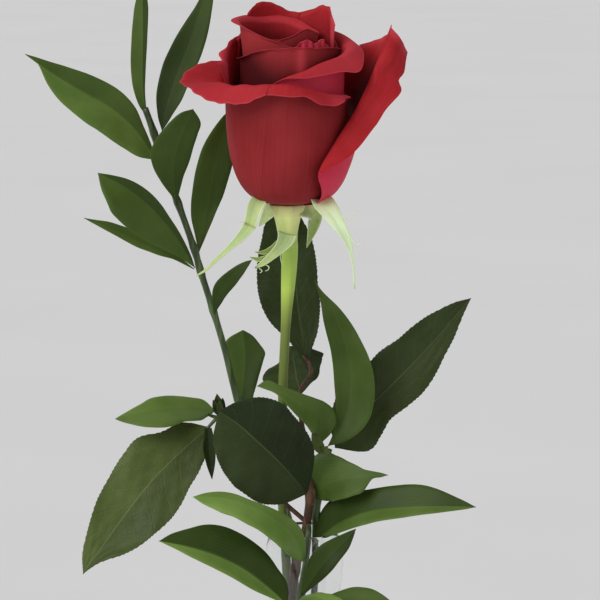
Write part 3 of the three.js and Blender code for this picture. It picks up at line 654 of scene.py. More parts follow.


# Each leaf: fold, lightness left and right of the midrib (its own tone, with painted light and shade for
# how light falls on that side), where it faces, midrib, half widths of the left and the right side between
# its two ends, and its own wave if it has one.
TALL_LEAVES = (
    (14, (0.3, 0.06), (-0.5, -0.85, 0), ((-53.3, 10, 342.4), (-54.4, 10, 351.8), (-54.5, 10, 361.2),
     (-54.3, 10, 370.6), (-54.3, 10, 380), (-54.5, 10, 389.3)),
     (2.4, 3.8, 4.4, 4.6, 4.5, 4.3, 3.8, 3.1, 1.6), (0.2, 0.6, 1, 1.3, 1.6, 1.8, 2.1, 2.2, 1.4), 0.1),
    (14, (0.08, 0.11), (-0.35, -0.93, 0.1), ((-48.4, 12.6, 337.3), (-46.1, 15.2, 347.6),
     (-42.6, 17.6, 357.6), (-38.6, 18.7, 367.6), (-35.3, 19.5, 377.8), (-32.3, 20, 388.1)),
     (2.5, 4.6, 5.6, 6.1, 5.8, 5.2, 3.9, 2.3, 1), (2.2, 4.7, 5.4, 5.4, 5.8, 5.5, 5.1, 4.4, 3.2)),
    (22, (0.7, 0.29), (-0.2, -0.8, 0.5), ((-50.4, 9.7, 327.7), (-56.6, 6.4, 337.8), (-64.8, 3.1, 345.9),
     (-74.5, 0.7, 351.9), (-84, -1.4, 358), (-93, -3, 364.8)), (4.9, 7.5, 8.9, 9.5, 9.8, 8.6, 7.3, 4.3, 0),
     (1.4, 2.9, 5.1, 6.1, 6.4, 6.1, 5.1, 3.8, 1.8)),
    (10, (0.16, 0.08), (0, -1, 0.15), ((-43.4, 11, 311.4), (-44, 6.9, 318.9), (-44, 3, 326.3),
     (-42.7, 0.6, 333.4), (-40, -1, 339.9), (-37.2, -2, 346.3)),
     (0.9, 3.2, 5.2, 7.2, 8.4, 7.7, 6.4, 5.3, 3.4), (0.8, 2.1, 3.2, 4.4, 5.2, 5.4, 5.2, 4.8, 4.2)),
    (16, (0.34, 0.21), (0.2, -0.97, 0), ((-36.2, 15.8, 295), (-34.2, 17.7, 304.9), (-32.3, 19.4, 314.7),
     (-30.4, 19.9, 324.8), (-27.7, 20.1, 334.6), (-24.7, 20, 344.4)),
     (2.2, 4.9, 6.1, 6.6, 6.8, 6.6, 6.2, 4.9, 2.7), (1, 2.2, 3.2, 4.4, 5.1, 5.5, 5.4, 4.8, 2.8)),
    (16, (0.36, 0.14), (-0.2, -0.8, 0.5), ((-37.5, 12, 290.1), (-42.1, 8.6, 298.9), (-47.5, 4.9, 307.1),
     (-53.9, 1.8, 314.3), (-61.2, -0.1, 320.2), (-69.4, -1, 324.6)),
     (1.9, 4.6, 6.9, 8.9, 10.4, 11.1, 11, 10, 5.8), (0.9, 1.5, 2, 2.4, 3.1, 3.5, 3.4, 2.7, 1.3)),
    (10, (0.4, 0.29), (-0.2, -0.7, 0.7), ((-37.9, 15, 289.2), (-45.4, 16.2, 292.8), (-53.1, 17.1, 296.3),
     (-60.5, 17.1, 300), (-68, 16.6, 303.8), (-75.7, 16, 306.8)), (0, 0.3, 1.2, 1.6, 2.1, 2, 1.8, 1.6, 0.8),
     (1, 2.3, 3.1, 3.4, 3.5, 3.2, 2.6, 2, 0.8)),
    (10, (0.1, 0.07), (0, -0.9, 0.4), ((-31, 12.4, 273.9), (-29.7, 9.9, 278.9), (-27.5, 7.3, 283.6),
     (-24.7, 5.5, 287.7), (-21.4, 4, 291.3), (-17.7, 3, 294.3)), (1, 2.1, 3.1, 3.4, 3.1, 2.6, 2.1, 1.6, 0.9),
     (0.8, 1.6, 1.9, 2.2, 2.5, 2.6, 2.4, 2, 1)),
    (14, (0.41, 0.15), (0, -1, 0), ((-21.9, 14, 240.4), (-21.4, 16.9, 245.3), (-20.8, 19.8, 250.3),
     (-20.5, 21.6, 255.5), (-20.7, 22.6, 260.8), (-21.3, 23, 266.3)),
     (1.2, 2.8, 4, 5.1, 6.1, 6.8, 7.4, 7.4, 5.7), (3.3, 4, 4.5, 5, 5.6, 6.3, 7, 5.4, 3.2)),
    (14, (0.53, 0.66), (0, -0.6, 0.8), ((-30.8, 11, 240), (-37.6, 7.1, 241.8), (-44.4, 2.7, 242.8),
     (-51.1, -0.9, 242.8), (-57.8, -3.9, 242.2), (-64.3, -6, 240.9)),
     (3.3, 6.6, 7.6, 7.9, 9.2, 9.5, 8.6, 6.9, 3.5), (3.9, 4.6, 5.2, 5.5, 5.4, 5, 3.6, 2.4, 1.1)),
)
SHORT_LEAVES = (
    (16, (0.43, 0.37), (0.2, -0.75, 0.6), ((6.2, -3.6, 232.3), (6.1, -6.8, 239.8), (1.9, -9.8, 245.5),
     (-3.5, -11.7, 249.6), (-9.5, -11.8, 252.2), (-15.9, -11, 253.4)),
     (2.8, 5.6, 7.4, 6.8, 6.4, 4.9, 2.9, 1.3, 0.6), (3, 5.8, 5.4, 4.1, 3, 2.4, 2.1, 2.2, 2.7)),
    (16, (0.19, 0.22), (-0.3, -0.95, 0), ((8.2, -3.2, 230.8), (14.6, -1.3, 241.2), (16.2, 0.3, 253.2),
     (14.3, 0.8, 265.5), (9.9, 1.8, 277), (3.4, 3, 287.4)), (1.2, 3.8, 5.1, 5.8, 5.9, 5.6, 5.2, 4, 1.5),
     (4.6, 7.9, 8.9, 8.7, 7.7, 5.9, 4.4, 2.6, 0.4)),
    (10, (0.36, 0.32), (0.1, -0.8, 0.5), ((3.4, -4.6, 212.9), (7.1, -7.1, 217.7), (12.1, -9.9, 220.7),
     (17.5, -12.3, 222.1), (23, -14, 222.9), (28.4, -15, 223.5)), (4.3, 9.8, 11, 8.5, 6, 4.4, 2.6, 1.8, 1),
     (3.9, 6.1, 6.8, 7.2, 7.4, 6.6, 5.5, 1.2, 0.6), 0.3),
    (18, (0.11, 0.48), (0, -0.7, 0.72), ((2.8, -3.4, 195.9), (12.1, -9.4, 205.2), (22.9, -15.8, 211.2),
     (34.4, -20.7, 213.7), (46, -24.1, 214.9), (57.5, -26, 215.2)), (5.6, 9.2, 8.8, 8, 8, 8, 7.4, 5.6, 2.7),
     (1.6, 4, 5.3, 5.9, 5.4, 4.4, 3.4, 2.6, 1.4)),
)
SPRIG_LEAVES = (
    (16, (1.16, 0.79), (0, -0.7, 0.7), ((0.3, -18.8, 194.2), (-3.6, -24.2, 204.5), (-10.5, -29.3, 212.3),
     (-18.7, -32.3, 217.6), (-27.5, -34.1, 220.5), (-36.8, -35, 221)),
     (4, 7.2, 9.1, 8.8, 8, 7.8, 6.8, 6.1, 3.5), (2.3, 4.1, 4, 3.1, 2.4, 2, 2.3, 2.2, 1.4)),
    (10, (0.1, 0.01), (-0.2, -0.9, 0.3), ((-1.4, -20.8, 182.2), (2, -22.8, 188), (5.4, -24.3, 193.5),
     (9.3, -24.3, 198.2), (13.5, -22.5, 202.1), (17.5, -20, 206.1)), (1.4, 3, 4, 4.9, 5.2, 4.9, 4, 3, 1.5),
     (0.8, 1.8, 2.8, 3.4, 3.6, 3.4, 3.1, 2.5, 1.2)),
    (18, (1.17, 0.12), (0, -0.7, 0.7), ((-5.4, -21.6, 179.6), (-12.8, -24, 187.2), (-20.7, -27, 194.1),
     (-29.5, -30, 199.4), (-38.7, -33.2, 203.3), (-48.1, -36, 206.2)),
     (1.6, 3.6, 5, 5.7, 5.6, 5.2, 4.7, 3.4, 1.4), (5.2, 7.5, 9.4, 10.2, 10.6, 10.4, 9.1, 6.6, 3.6)),
    (10, (0.3, 0.21), (0, -0.6, 0.8), ((-2, -21.8, 180.4), (4.6, -24.1, 181), (11.2, -27, 182.3),
     (17.8, -30.1, 183.8), (24.3, -32.5, 184.4), (30.7, -34, 183.3)),
     (1.1, 2.2, 3.4, 4.9, 5.8, 5.8, 5.2, 3.6, 1.7), (1.2, 3, 4.5, 5.9, 7.4, 7.8, 7.2, 6.2, 2.8)),
    (10, (0.77, 0.64), (0, -0.6, 0.8), ((-2.7, -22.6, 180.9), (0.2, -27.9, 184.1), (3.4, -33.7, 186.2),
     (6.4, -38.6, 186.8), (9.2, -42.5, 186.3), (11.2, -45, 184.5)),
     (1.5, 1.8, 2.2, 2.8, 2.9, 3.4, 3.4, 3.8, 3.4), (1.5, 3.4, 4.9, 6, 6.6, 7, 7, 6.8, 5.3)),
)
SALAL_LEAVES = (
    (6, (0.26, -0.04), (0.1, -0.97, 0.2), ((1, -8.6, 215.3), (-4.3, -15.3, 223.5), (-9.8, -21.6, 231.1),
     (-15.7, -25.2, 237.6), (-21.7, -26.8, 243.5), (-28.3, -27, 248.3)),
     (8.2, 12.8, 14.8, 15.8, 16.3, 15.8, 14.6, 12.8, 8.8), (4.9, 9.6, 12.6, 14, 14.6, 15.1, 14.6, 12, 6.5)),
    (6, (0.65, 1.07), (-0.1, -0.93, 0.35), ((-32.6, 1.8, 236.4), (-42.5, -3.3, 228.5), (-51.7, -8.3, 220),
     (-59.9, -11.3, 210.2), (-67.6, -13.1, 199.6), (-75.3, -14, 188.6)),
     (5.9, 9.5, 11.2, 13.1, 13.8, 12.9, 11, 7.4, 2.1), (7.1, 9.6, 13.8, 13.4, 12.4, 11.3, 9.6, 7.5, 4.4)),
    (8, (0.23, 0.34), (0.3, -0.85, 0.4), ((10.7, 3, 228.7), (19.4, 5.8, 239.3), (29.4, 8.9, 248.6),
     (39.2, 11.3, 258.3), (48.7, 13, 268.6), (57.7, 14, 279.2)),
     (6.8, 11.1, 11.1, 11, 11, 9.7, 9.1, 7.5, 4.2), (9.6, 9.8, 8.2, 8.8, 9.2, 8.2, 6.2, 4.4, 1.7)),
    (8, (0.19, 0.24), (0, -1, 0.1), ((1.4, 12, 254.3), (-0.6, 13.7, 265.7), (-2.1, 15.6, 277.2),
     (-3.3, 17.5, 288.7), (-5, 19, 300.1), (-7.6, 20, 311.5)), (1.8, 5.4, 9.9, 12.3, 13.2, 13, 12, 10, 7),
     (1.8, 5.1, 6.8, 7.7, 7.6, 7.9, 7.8, 6.9, 4.6)),
    (8, (0.31, 0.19), (0, -0.97, 0.25), ((-1, 9.6, 246.3), (-2, 13.2, 248.9), (-2.7, 17.1, 251.5),
     (-3.3, 20.2, 254.3), (-4, 22.5, 257.3), (-4.9, 24, 260.4)),
     (6.4, 9.8, 11.2, 11.7, 10, 8.3, 5.5, 3.7, 1.7), (3.2, 5.9, 7.7, 8.6, 9.4, 10, 10.6, 8.2, 4.4)),
)
LEAF_THICKNESS = 0.34
RUSCUS_GRID, SALAL_GRID = (32, 76), (32, 240)
TALL_SEED, SHORT_SEED, SPRIG_SEED, SALAL_SEED = 21, 31, 35, 51
MIDRIB_SOFTNESS = 0.08


def leaves(stem, rows, seed, size, material, slot, **ways):
    """The leaves of one stem, numbered along it; each side of the midrib has its own tone and painted light.
    """
    u, v = grid(*size)
    for i, (fold, tone_and_painted_light, faces, rib, left, right, *wave) in enumerate(rows):
        own = {**ways, "wave": wave[0]} if wave else ways
        points = blade(u, v, seed + i, faces, fold, rib, (0, *left, 0), (0, *right, 0), **own)
        # Each side's lightness: the leaf's own tone, with painted light and shade for how light falls on that
        # side.
        tones_and_painted_light = tone_and_painted_light[0] + (tone_and_painted_light[1] - tone_and_painted_light[0]) * smoothstep(-MIDRIB_SOFTNESS, MIDRIB_SOFTNESS, u)
        name = "%s_leaf_%d" % (stem, i + 1)
        piece = shell_piece(name + "_blade", points, LEAF_THICKNESS, {"tone_and_painted_light": tones_and_painted_light})
        finish_piece(piece, material, slot, name)


def greenery(ruscus, salal):
    """The ruscus leaves of three stems, then the salal leaves with their toothed margins."""
    sprays = (("tall", TALL_LEAVES, TALL_SEED), ("short", SHORT_LEAVES, SHORT_SEED),
              ("sprig", SPRIG_LEAVES, SPRIG_SEED))
    for stem, rows, seed in sprays:
        leaves(stem, rows, seed, RUSCUS_GRID, ruscus, "ruscus_green", roll=0.6)
    leaves("salal", SALAL_LEAVES, SALAL_SEED, SALAL_GRID, salal, "salal_green",
           teeth=40, bite=0.28, wave=1.2, quilt=0.12)


SCALE_BOWS = ((0, 0), (0.35, 0.5), (0.7, 0.5), (1, 0))  # share of the length, bow towards the front
SCALE_WIDTHS, SCALE_TIP = (0.6, 1, 0.7), 0.1  # shares of the half width, and the tip's own
SCALE_FACES, SCALE_FOLD = (0, -1, 0.1), 25
SCALE_GRID, SCALE_SEED = (14, 40), 140
TWIG_SCALES = (
    # foot, tip, half width, lightness
    ((-28.7, -1, 241.6), (-29.7, -3, 249), 1.9, 0.3),
    ((-28.7, -1, 241.6), (-27.7, -2, 247.4), 1.6, 0.1),
    ((-28.7, -1, 241.6), (-31, -4, 247.1), 1.5, 0.4),
    ((-28.7, -1, 241.6), (-28.6, -5, 247), 1.3, 0.7),
    ((-32.8, -3, 237.1), (-31.5, -4, 219.4), 2.1, 0.05),
    ((6.1, -9, 230.1), (2.7, -10, 237.3), 1.9, 1),
    ((6.1, -9, 230.1), (8.1, -10, 232.4), 1.3, 0.9),
)
PETIOLES = (
    ((-28.1, 0, 241), (-30.1, -1, 240.5), (-33.2, -2, 241.8)),
    ((-28.4, 0, 241), (-30.8, -1, 239.1), (-33.5, -2, 236.2)),
    ((-28.8, 0, 241), (-26.7, -2, 242.8), (-24.6, -3, 242.7)),
)
PETIOLE_RADII, PETIOLE_SIDES = (0.75, 0.5), 12


def petioles(material):
    """The short stalks that join the salal leaves to the tip of the side twig."""
    verts, faces = threads(PETIOLES, PETIOLE_RADII, PETIOLE_SIDES)
    finish_piece(add_mesh("salal_petioles", verts, faces), material, "ruscus_stem_green")


def twig_scales(material):
    """Small scale leaves at the forks: short blades from foot to tip, bowed towards the front."""
    u, v = grid(*SCALE_GRID)
    for i, (foot, tip, half_width, tone_and_painted_light) in enumerate(TWIG_SCALES):
        foot, tip = np.array(foot, float), np.array(tip, float)
        rib = [foot + (tip - foot) * share + np.array([0, -bow, 0]) for share, bow in SCALE_BOWS]
        widths = (*(half_width * share for share in SCALE_WIDTHS), SCALE_TIP)
        points = blade(u, v, SCALE_SEED + i, SCALE_FACES, SCALE_FOLD, rib, widths, widths, wave=1.0, bend=0.4)
        piece = shell_piece("scale_leaf_%d_blade" % (i + 1), points, LEAF_THICKNESS, {"tone_and_painted_light": tone_and_painted_light})
        finish_piece(piece, material, "salal_green")


# Each sepal: name, whether CAD has it too, where it faces, how pale, how dry its tip, its crease, midrib,
# and half widths of the left and right side, or one set for both.
SEPALS = (
    ("sepal_left", True, (-0.25, -0.9, 0.3), 0.3, 0, (0.37, -0.45), ((-13.5, -3, 318.4), (-15.8, -8, 314.7),
     (-17.2, -10.5, 311.3), (-18.2, -10.5, 308), (-20.7, -12, 304.8), (-24.4, -12.5, 301.3),
     (-29.5, -11.5, 296.5), (-33.2, -10.5, 292.9), (-36.3, -9.5, 290.9)),
     (2.2, 2.8, 2.5, 2.2, 1.8, 1.1, 0.65, 0.42, 0.12)),
    ("sepal_front", True, (0, -1, 0.25), 0.3, 0.8, (0.05, 0.15), ((-5.7, -4.4, 304.5), (-6.4, -5.8, 302.5),
     (-8.2, -7.8, 300.1), (-11.1, -9.7, 297.5), (-13.8, -11, 295.5), (-16.4, -12, 294)),
     (3.2, 2.9, 2, 1.4, 1, 0.3), (3.2, 2.8, 1.9, 1.3, 0.9, 0.3)),
    ("sepal_right", True, (0.35, -0.85, 0.35), 1, 0.15, NO_CREASE, ((4, -2, 319), (5.8, -8, 315.7),
     (8.8, -11, 312.4), (11.6, -12.5, 308.3), (14.2, -12.5, 303.7), (15.9, -12, 298.1), (16.7, -11, 292.5),
     (16.9, -10, 286.5)), (3, 3.75, 3.4, 2.4, 1.5, 0.6, 0.35, 0.5)),
    ("sepal_right_back", True, (0.3, -0.9, 0.2), 0.12, 0.1, NO_CREASE, ((-1.5, -1.5, 312.6),
     (1.2, 2.5, 311.6), (3.3, 7, 309.4), (3.3, 10, 305.6), (2.1, 11, 301), (0.9, 11, 297.2)),
     (2.8, 3, 2.8, 2.2, 1.1, 0.1)),
    ("sepal_left_back", True, (-0.3, -0.9, 0.2), 0.3, 0.1, NO_CREASE, ((-9.8, 3, 313.5), (-11.6, 7, 310.6),
     (-13.5, 9.5, 307.6), (-15.4, 11, 304.8)), (2.9, 2.5, 1.5, 0.2)),
    ("sepal_front_lobe_1", False, (0, -0.9, 0.4), 0, 0, NO_CREASE, ((-8.8, -6, 302.2), (-10.8, -7.5, 299.7),
     (-13.4, -8.5, 298.7), (-16.4, -9.5, 299)), (0.5, 1.1, 0.8, 0.1)),
    ("sepal_front_lobe_2", False, (0, -0.9, 0.4), 0, 0, NO_CREASE, ((-10.1, -8.3, 298.5),
     (-12.8, -9.5, 296.8), (-15.4, -10.5, 296.6), (-18.1, -11.5, 297.6)), (0.5, 1.1, 0.8, 0.1)),
)
WHISKERS = (
    ((-19.7, -10.5, 309.3), (-21.1, -11, 309.4), (-22.1, -11.5, 308.8)),
    ((13.6, -12.5, 310.6), (15.3, -13, 310.7), (16.6, -13.5, 311.8), (17.6, -14, 313.5)),
    ((15.7, -12.5, 304.6), (16.3, -13, 303.3), (17.7, -13.5, 302.3), (19.3, -14, 302.4)),
    ((-12.8, -10.5, 294.8), (-11.8, -10.5, 294.1), (-12.1, -10.5, 293.1), (-13.1, -10.5, 292.7)),
    ((-15.1, -11, 293.8), (-14.1, -11, 292.8), (-14.8, -11, 292.1)),
    ((-7.7, -8, 298.8), (-7.9, -8, 296.7), (-7.4, -8, 294.4)),
)
WHISKER_RADII, WHISKER_SIDES, WHISKER_PALE = (0.22, 0.1), 8, 0.7
SEPAL_GRID, SEPAL_SEED = (20, 96), 80
SEPAL_THICKNESS, SEPAL_FOLD = 0.45, 16
DRY_END = (0.9, 1.0)  # the shares of the length between which a tip turns brown
# How dark and how narrow the painted shade line along a crease is.
CREASE_BROWN, CREASE_BROWN_WIDTH = 0.55, 0.012


def sepals(material):
    """Five turned-down sepals, two side lobes on the front one, and the fine whiskers on their margins."""
    u, v = grid(*SEPAL_GRID)
    for i, (name, in_cad, faces, pale, dryness, crease, rib, *sides) in enumerate(SEPALS):
        points = blade(u, v, SEPAL_SEED + i, faces, SEPAL_FOLD, rib, sides[0], sides[-1],
                       wave=1.0, uneven=0.05, bend=0.5, crease=crease)
        dried_tip_and_crease_shade = smoothstep(*DRY_END, v) * dryness
        # Painted shade: a dark brown line along the crease.
        if crease is not NO_CREASE:
            dried_tip_and_crease_shade = np.maximum(dried_tip_and_crease_shade, CREASE_BROWN * bell(v, crease[0], CREASE_BROWN_WIDTH))
        piece = shell_piece(name + "_blade", points, SEPAL_THICKNESS, {"pale": pale, "dried_tip_and_crease_shade": dried_tip_and_crease_shade})
        finish_piece(piece, material, "sepal_green", *([name] if in_cad else []))
    verts, faces = threads(WHISKERS, WHISKER_RADII, WHISKER_SIDES)
    count = len(verts)
    looks = {"outside": np.ones(count), "pale": np.full(count, WHISKER_PALE), "dried_tip_and_crease_shade": np.zeros(count)}
    piece = add_mesh("sepal_whiskers", verts, faces, np.zeros((count, 2)), looks)
    finish_piece(piece, material, "sepal_green")


# ---- Bloom ----
# Its pieces are worked out from BLOOM_PLACE, the middle of the hip's top.

BLOOM_PLACE = np.array([-5.4, 0.0, 313.3])
HIP_PROFILE = (
    (0, -14.4), (2.4, -14.4), (2.95, -11.8), (3.5, -8.6), (4.05, -5.6), (4.7, -3), (5.5, -1.2), (6, 0.2),
    (5.6, 0.85), (3.6, 0.9), (2.6, 3), (0, 4.5),
)
HIP_LEAN = ((-14.4, 0.6), (-9, -0.2), (0, -0.4))  # height, sideways
HIP_RINGS, HIP_SEGMENTS = 48, 64
HIP_RIBS, HIP_RIB_DEPTH, HIP_RIB_TURN, HIP_RIB_HEIGHTS = 5, 0.05, 0.6, (-13, -2)


def hip(material):
    """The swollen hip under the bloom, turned about the bloom's axis, then leaned a little to one side."""
    side = smooth_profile(HIP_PROFILE[1:-1], HIP_RINGS)
    verts, *faces = lathe(np.concatenate([HIP_PROFILE[:1], side, HIP_PROFILE[-1:]]), HIP_SEGMENTS)
    angle = np.arctan2(verts[:, 1], verts[:, 0])
    ribs = HIP_RIB_DEPTH * np.cos(HIP_RIBS * angle + HIP_RIB_TURN)
    swell = 1 + ribs * smoothstep(*HIP_RIB_HEIGHTS, verts[:, 2])
    verts[:, :2] *= swell[:, None]
    verts[:, 0] += np.interp(verts[:, 2], *np.transpose(HIP_LEAN))
    finish_piece(add_mesh("rose_hip_skin", verts + BLOOM_PLACE, faces), material, "stem_green", "rose_hip")


PETAL_GRID = (72, 80)
PETAL_SEED, PETAL_SEED_STEP = 100, 5
PETAL_THICKNESS = 0.3
FOLD_ROW = 0.6  # the share of a petal's length where its lip begins
LEAST_LIP = 0.6
PETAL_FRAY = 0.1
# By layer from the outside in: the belly's radius, and how the foot draws in and climbs.
BELLY_RADII = (19.7, 17.9, 16.1, 14.3, 12.4, 10.2, 7.7)
FOOT_RADIUS, FOOT_INSET = 4.6, 0.22
FOOT_HEIGHT, LAYER_RISE = 1.2, 1.7
UNDERSIDE_REACH = 0.86


def lip_turn(past, bend, full):
    """How far a lip goes along and out of its section `past` mm beyond the fold.

    It follows an arc of radius `bend` through `full` radians, then runs straight.
    """
    turned = np.minimum(past / bend, full)
    straight = past - turned * bend
    along = bend * np.sin(turned) + straight * np.cos(full)
    out = bend * (1 - np.cos(turned)) + straight * np.sin(full)
    return along, out


def cupped_petal(u, v, seed, layer, azimuth, half, height, reach, lip, turn, bend, lap=0.08, ruffle=0.35,
                 slant=(0, 0), swell=1.07, belly_height=0.34, curl=(0, 0), dent=0.12, ridge=(0, 1, 0),
                 pleats=(0, 0)):
    """A cupped petal round the bloom's axis, `half` degrees to each side of its azimuth.

    At each bearing its section is a Bezier from the hip out along the underside and up the belly to the
    fold at (reach, height). The belly's control point is at `swell` x the layer's radius, `belly_height` of
    the way up to the fold. Past the fold the lip turns outward, `turn` degrees on a radius of `bend`. `lap`
    sets its first edge in and its last edge out, `slant` turns its two edges by so many degrees at the
    foot, |u|^1.5 (1 - t)^1.2, and `curl` rolls them outward at the top, by t^8. `ridge` is a rib up the
    petal (where, width, height), `pleats` are even waves across (how many, how deep), and `ruffle` and
    `dent` are unevenness.
    """
    foot_height = FOOT_HEIGHT + LAYER_RISE * layer
    t = np.minimum(v / FOLD_ROW, 1)
    turned_foot = np.where(u < 0, *slant) * np.abs(u) ** 1.5 * (1 - t) ** 1.2
    bearing = np.radians(azimuth + half * u + turned_foot)
    fold_z = blend(height, u) + ruffle * ripple(u, 0.2, seed, 3)
    foot = (FOOT_RADIUS - FOOT_INSET * layer, foot_height)
    under = (UNDERSIDE_REACH * BELLY_RADII[layer], foot_height)
    side = np.stack([swell * BELLY_RADII[layer] + 0 * u, foot_height + belly_height * fold_z], -1)
    point, tangent = bezier((foot, under, side, np.stack([blend(reach, u), fold_z], -1)), t)
    outward = np.stack([tangent[..., 1], -tangent[..., 0]], -1)
    length = np.maximum(blend(lip, u), LEAST_LIP) * (1 + PETAL_FRAY * ripple(1.5 * u, 0.4, seed + 1, 3))
    share = np.maximum((v - FOLD_ROW) / (1 - FOLD_ROW), 0)
    along, out = lip_turn(share * length, blend(bend, u), np.radians(blend(turn, u)))
    margin = np.where(u < 0, *curl) * smoothstep(0.8, 1.0, np.abs(u)) ** 1.5 * t ** 8
    relief = dent * ripple(u, v, seed + 2, 4) * t + ridge[2] * bell(u, *ridge[:2]) * t
    relief = relief + pleats[1] * np.sin(2 * np.pi * pleats[0] * u) * smoothstep(0.3, 1, t)
    out = out + lap * u + relief + margin + ruffle * share ** 2 * ripple(1.3 * u, v, seed + 3, 3)
    point = point + tangent * along[..., None] + outward * out[..., None]
    return about_axis(point[..., 0], bearing, point[..., 1])


HEART_RIM_DIP = 2.5


def heart_petal(u, v, seed, start, sweep, inner, growth, low, high):
    """A strip rolled round the bloom's axis.

    Its radius grows along the roll and swells with height, by 0.3 + 0.7 sin(pi (0.08 + 0.6 v)). The rim
    dips towards both ends of the strip.
    """
    share = (u + 1) / 2
    fullness = 0.3 + 0.7 * np.sin(np.pi * (0.08 + 0.6 * v))
    rise = low + (high - low - HEART_RIM_DIP * u * u) * v + 0.5 * v * ripple(u, 0.3, seed, 3)
    return about_axis((inner + growth * share) * fullness, np.radians(start + sweep * share), rise)


def peeled_petal(u, v, seed, bearing, spine, front_half, back_half, arch_radius, flap, flap_turn, droop,
                 flap_bend, flap_share, tip, crease):
    """The petal that leans away from the bloom.

    Its spine runs out and up. Ribs across the spine arch round it, and the front margin folds outward
    along a ridge into a flap. The ribs fall away from the point by `droop` mm per mm. `tip` (how much, how
    narrow) lifts a point where the ridge ends, exp(-(distance / narrow)^1.4) v^5. `crease` (how deep,
    where, how narrow) is a dip across the flap.
    """
    bearing = math.radians(bearing)
    outward = np.array([math.cos(bearing), math.sin(bearing), 0.0])
    sideways = np.array([-math.sin(bearing), math.cos(bearing), 0.0])
    centre, tangent = bezier([outward * r + np.array([0, 0, z]) for r, z in spine], v)
    normal = np.cross(np.broadcast_to(sideways, tangent.shape), tangent)
    ridge = 2 * flap_share - 1
    station = 2 * v - 1
    arch = blend(arch_radius, station)
    front = blend(front_half, station)
    in_body = np.maximum((u - ridge) / (1 - ridge), 0) * (front + blend(back_half, station))
    past = np.maximum((ridge - u) / (1 + ridge), 0) * np.maximum(blend(flap, station), LEAST_LIP)
    full = np.radians(blend(flap_turn, station))
    turned = np.minimum(past / flap_bend, full)
    straight = past - turned * flap_bend
    angle = (in_body - front) / arch
    lean = front / arch
    side = (arch * np.sin(angle) - flap_bend * (np.sin(lean) - np.sin(lean - turned))
            - straight * np.cos(lean - full))
    out = (arch * (np.cos(angle) - 1) + flap_bend * (np.cos(lean) - np.cos(lean - turned))
           - straight * np.sin(lean - full))
    out = out + 0.5 * ripple(u, v, seed, 4) * v
    out = out - crease[0] * bell(v, *crease[1:]) * smoothstep(0, 0.35, ridge - u)
    fall = blend(droop, station) * (in_body + past)
    fall = fall - tip[0] * np.exp(-(np.abs(u - ridge) / tip[1]) ** 1.4) * v ** 5
    return centre - tangent * fall[..., None] + sideways * side[..., None] + normal * out[..., None]


def petal_looks(points, u, v, blush=0.0, shade=(0, 1), dim=0, deep=(-3, -2), glow=(0, 1, 0, 0, 1)):
    """How a petal is coloured over its grid.

    `blush` is the magenta on its outer face, its own colour, painted lighter so that it also stands
    for light falling on that face. Painted shade makes it dark below the first height of `shade` and clear
    above the second, standing for the shade deep in the bloom; a third value is the share of that on the
    outer face. `dim` raises those heights across the petal, and `deep` keeps the painted shade to one side.
    `glow` is painted light: a lighter bell across the petal (where, width, strength) that comes in between
    two shares of its length.
    """
    low, high, outer_share = (*shade, 1.0)[:3]
    # Painted shade, dark deep in the bloom and fading out above the heights of `shade`.
    depth = (1 - smoothstep(low, high, points[..., 2] - blend(dim, u))) * smoothstep(*deep, u)
    # Painted light: a lighter bell across the petal.
    where, width, strength, start, end = glow
    light = strength * bell(u, where, width) * smoothstep(start, end, v)
    return {"blush": blush, "depth": (outer_share * depth, depth), "glow": light}
